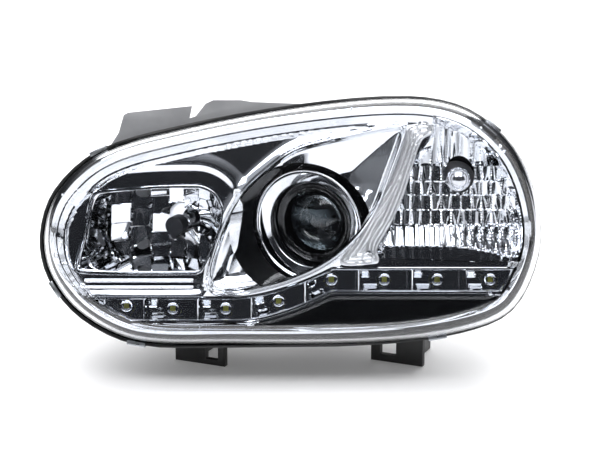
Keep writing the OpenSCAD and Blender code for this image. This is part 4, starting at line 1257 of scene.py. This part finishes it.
@dataclass
class Projector:
    """The low-beam projector: chromed ring, black holder and glass, as radii and depths behind the ring."""

    ring: Points = ((45, 4), (45, 0), (43.4, 0), (42.6, 1.5), (33.8, 4.2), (33.4, 16), (35, 16), (36, 9),
                    (45, 4))
    holder: Points = (
        (25.6, 15), (25.6, 12.2), (27.5, 11.6), (28.3, 11.6), (28.6, 13), (30.4, 13), (30.8, 15),
        (32.7, 15.2), (32.7, 17), (33, 35.5), (44.3, 35.5), (44.3, 39.4), (31.2, 39.4), (31.2, 37),
        (25.6, 34), (25.6, 31.6), (26.1, 31.4), (26.1, 15), (25.6, 15),
    )
    glass_edge: Points = ((25.5, 31.5), (26.0, 31.0))
    glass_ball: float = 32.24
    glass_middle: float = 44.5
    glass_tip: float = 0.02
    notch_more: float = 5.0
    notch_y: Point = (-15.0, 35.2)

    def build(self) -> None:
        """Make the ring, the holder and the glass."""
        profile = self.sunk(rounded(self.ring, radius=0.9))
        ring = turned("projector_ring", LOW_AXIS, profile, End.JOINED, parts=160)
        self.notch(ring)
        settle(ring, "chromed_plastic", ["projector_shroud"], "beam_unit", place=Place.CAR)
        profile = self.sunk(rounded(self.holder, radius=0.5, steps=3))
        holder = turned("lens_holder_ring", LOW_AXIS, profile, End.JOINED)
        settle(holder, "gloss_black", ["lens_holder"], "beam_unit", place=Place.CAR)
        turn = (math.acos(self.glass_edge[-1][0] / self.glass_ball), math.pi / 2 - self.glass_tip)
        ball = nose(self.glass_ball, self.glass_middle, self.glass_ball, turn, steps=24)
        glass = turned("projector_glass", LOW_AXIS, self.sunk([*self.glass_edge, *ball]), End.POINT)
        settle(glass, "projector_glass", ["projector_lens"], "beam_unit", sharp=50, place=Place.CAR)

    def sunk(self, profile: Sequence[Point]) -> list[Point]:
        """Move a profile from behind the ring's front to the car's depth."""
        return [(r, LOW_Y + y) for r, y in profile]

    def notch(self, ring: Piece) -> None:
        """Cut the ring's foot where the daytime strip passes.

        Args:
            ring: The ring, drawn in the car's millimetres.
        """
        edge = strip_outline(self.notch_more).resampled(pitch=4.0)
        cutter = loft("ring_notch", [edge.ring(y) for y in self.notch_y], End.FLAT)
        cutter.data.transform(FACE_TO_CAR)
        finish_with(ring, "BOOLEAN", operation="DIFFERENCE", object=cutter, solver="EXACT")
        bpy.data.objects.remove(cutter)


@dataclass
class HighBeam:
    """The high-beam reflector: a mirror bowl in upright columns of tilted facets, with walls round it."""

    pitch: float = 1.1
    wall: float = 1.4
    focus: float = 24.0
    bow: Point = (1.0, 0.06)
    half_w: float = 55.6
    up: float = 35.6
    down: float = 33.6
    corner: float = 19.5
    # Columns of facets: their numbers, width, roundness and ends, and the height and offset of the rows
    columns: range = range(-4, 4)
    column_mm: float = 12.5
    column_rise: float = 0.5
    column_end: float = 4.0
    row_mm: float = 15.0
    row_shift: float = 0.37
    # How far facets lean to the side and nod, in waves over columns and rows, and their common tilt
    tilt: Point = (0.12, 0.15)
    lean_turn: Point = (1.9, 2.3)
    nod_turn: Triple = (2.7, -1.3, 0.6)
    back_tilt: float = 0.22
    bead: Point = (0.7, 0.7)
    hole_r: float = 8.0
    plain_r: Point = (8.0, 24.0)
    wall_reach: float = 60.0

    def build(self) -> None:
        """Make the reflector."""
        x, z = HIGH_AXIS
        hole = ellipse(HIGH_AXIS, (self.hole_r, self.hole_r), parts=40)
        half = self.bead[0]
        low, high = z - self.down + self.column_end, z + self.up - self.column_end
        lines = []
        for k in self.columns:
            at = x + (k + 0.5) * self.column_mm
            lines.append(Outline([(at - half, low), (at - half, high), (at + half, high), (at + half, low)]))
        bowl = sheet("high_beam_bowl", self.border(), [hole], lines, self.height, self.pitch, 0)
        self.raise_walls(bowl)
        finish_with(bowl, "SOLIDIFY", thickness=self.wall, offset=-1.0)
        settle(bowl, "chromed_plastic", ["high_reflector"], "beam_unit", sharp=12, place=Place.CAR)

    def border(self) -> Outline:
        """Draw the rounded edge of the bowl in the car's frame.

        Returns:
            The edge, clockwise.
        """
        x, z = HIGH_AXIS
        knots = []
        for sx, sz, first in ((1, 1, 90), (1, -1, 0), (-1, -1, -90), (-1, 1, -180)):
            top = self.up if sz > 0 else self.down
            for a in np.radians(np.linspace(first, first - 90, 9)):
                knots.append((x + sx * (self.half_w - self.corner) + self.corner * math.cos(a),
                              z + sz * (top - self.corner) + self.corner * math.sin(a)))
        return Outline(knots)

    def height(self, p: Array) -> Array:
        """Depth of the mirror in the car's frame.

        Args:
            p: Rows of x and z.

        Returns:
            The depth of each point.
        """
        off = p - np.array(HIGH_AXIS)
        x, z = off.T
        bowl = HIGH_VERTEX - (off**2) @ self.bow / (4 * self.focus)
        near = np.interp(np.linalg.norm(off, axis=1), self.plain_r, (0, 1))
        column = np.floor(x / self.column_mm + 0.5)
        across = x - column * self.column_mm
        z = z + self.row_mm * self.row_shift * np.mod(column, 3)
        row = np.floor(z / self.row_mm + 0.5)
        along = z - row * self.row_mm
        lean = self.tilt[0] * np.sin(self.lean_turn[0] * column + self.lean_turn[1] * row) * across
        turn = self.nod_turn[0] * column + self.nod_turn[1] * row + self.nod_turn[2]
        nod = (self.tilt[1] * np.sin(turn) - self.back_tilt) * along
        bead = self.bead[1] * np.clip(1 - np.abs(self.column_mm / 2 - np.abs(across)) / self.bead[0], 0, 1)
        round_up = ribs(x + self.column_mm / 2, self.column_mm, self.column_rise)
        return bowl - near * (lean + nod + bead + round_up)

    def raise_walls(self, bowl: Piece) -> None:
        """Extrude the bowl's border to the front and cut it level with the face.

        Args:
            bowl: The open mirror, in the car's millimetres.
        """
        open_for_edit(bowl)
        bpy.ops.mesh.select_mode(type="EDGE")
        bpy.ops.mesh.select_all(action="DESELECT")
        mesh = bmesh.from_edit_mesh(bowl.data)
        for edge in mesh.edges:
            middle = (edge.verts[0].co + edge.verts[1].co) / 2
            far = math.hypot(middle.x - HIGH_AXIS[0], middle.z - HIGH_AXIS[1]) > self.hole_r * 2
            if edge.is_boundary and far:
                edge.select_set(True)
        bmesh.update_edit_mesh(bowl.data)
        bpy.ops.mesh.extrude_edges_move(TRANSFORM_OT_translate={"value": (0, -self.wall_reach, 0)})
        bpy.ops.mesh.select_all(action="SELECT")
        plane = FACE_TO_CAR @ Vector((0, HIGH_FRONT, 0))
        normal = FACE_TO_CAR.to_3x3() @ Vector((0, 1, 0))
        bpy.ops.mesh.bisect(plane_co=plane, plane_no=normal, clear_inner=True)
        bpy.ops.mesh.select_mode(type="VERT")
        bpy.ops.object.mode_set(mode="OBJECT")


@dataclass
class CopiedNodes:
    """CAD nodes copied with broken edges, as new name, node, slot, width of the edges and perhaps a body."""

    pieces: Copies = ()
    flat_deg: float = 1.0
    sharp_deg: float = 35.0

    def build(self) -> None:
        """Copy the nodes, break their edges as a mould breaks them and settle the copies."""
        for name, node, slot, edge_mm, *body in self.pieces:
            piece = bpy.data.objects.new(name, frame["nodes"][node].data.copy())
            bpy.context.scene.collection.objects.link(piece)
            open_for_edit(piece)
            bpy.ops.mesh.remove_doubles(threshold=1e-5)
            bpy.ops.mesh.dissolve_limited(angle_limit=math.radians(self.flat_deg))
            finish_with(piece, "BEVEL", width=edge_mm / MM_PER_METRE, segments=2, limit_method="ANGLE",
                        angle_limit=math.radians(self.sharp_deg))
            settle(piece, slot, [node], *body, sharp=self.sharp_deg, place=Place.ROW)


@dataclass
class HousingShell(CopiedNodes):
    """The black housing and what holds the lamp to the car."""

    pieces: Copies = (
        ("housing_moulding", "housing", "housing_black", 0.6),
        ("bracket_moulding", "upper_bracket", "grey_plastic", 0.5),
        ("left_foot_moulding", "left_foot", "housing_black", 0.6),
        ("right_foot_moulding", "right_foot", "housing_black", 0.6),
        ("lens_clip_set", "lens_clips", "spring_steel", 0.25),
    )


@dataclass
class RearGear(CopiedNodes):
    """Covers, motor, knobs, socket and vent at the back."""

    pieces: Copies = (
        ("low_cap_moulding", "low_cover", "housing_black", 0.7, "low_cap"),
        ("high_cap_moulding", "high_cover", "housing_black", 0.7, "high_cap"),
        ("motor_moulding", "level_motor", "housing_black", 0.6),
        ("height_knob_moulding", "height_knob", "grey_plastic", 0.4, "height_adjuster"),
        ("aim_screw_moulding", "aim_screw", "grey_plastic", 0.4, "aim_adjuster"),
        ("socket_moulding", "socket_body", "housing_black", 0.4),
        ("vent_moulding", "vent_cap", "seal_rubber", 0.5),
        ("indicator_grip", "indicator_holder", "grey_plastic", 0.6, "indicator_unit"),
    )


@dataclass
class InnerWorks:
    """CAD nodes that keep their shape and get a material of their own."""

    # Nodes dressed nearly black as painted shade, in place of their slot's finish
    painted_shade_black: tuple[str, ...] = ("high_bulb_shield",)

    def build(self) -> None:
        """Dress every CAD node by its slot, and the listed ones nearly black as painted shade."""
        for entry in frame["record"]["subparts"]:
            # Painted shade: the listed nodes get the nearly black finish instead of their slot's
            finish = "painted_shade_black" if entry["node"] in self.painted_shade_black else entry["material_slot"]
            dress(frame["nodes"][entry["node"]], finish)


def main() -> None:
    """Build the lamp."""
    logging.basicConfig(level=logging.INFO, format="%(message)s")
    for part in (Studio(), HousingShell(), Bezel(), DaytimeStrip(), IndicatorLamp(), Projector(), HighBeam(),
                 LensCover(), RearGear(), InnerWorks()):
        log.info("building %s", type(part).__name__)
        part.build()
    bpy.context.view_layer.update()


if __name__ == "__main__":
    main()
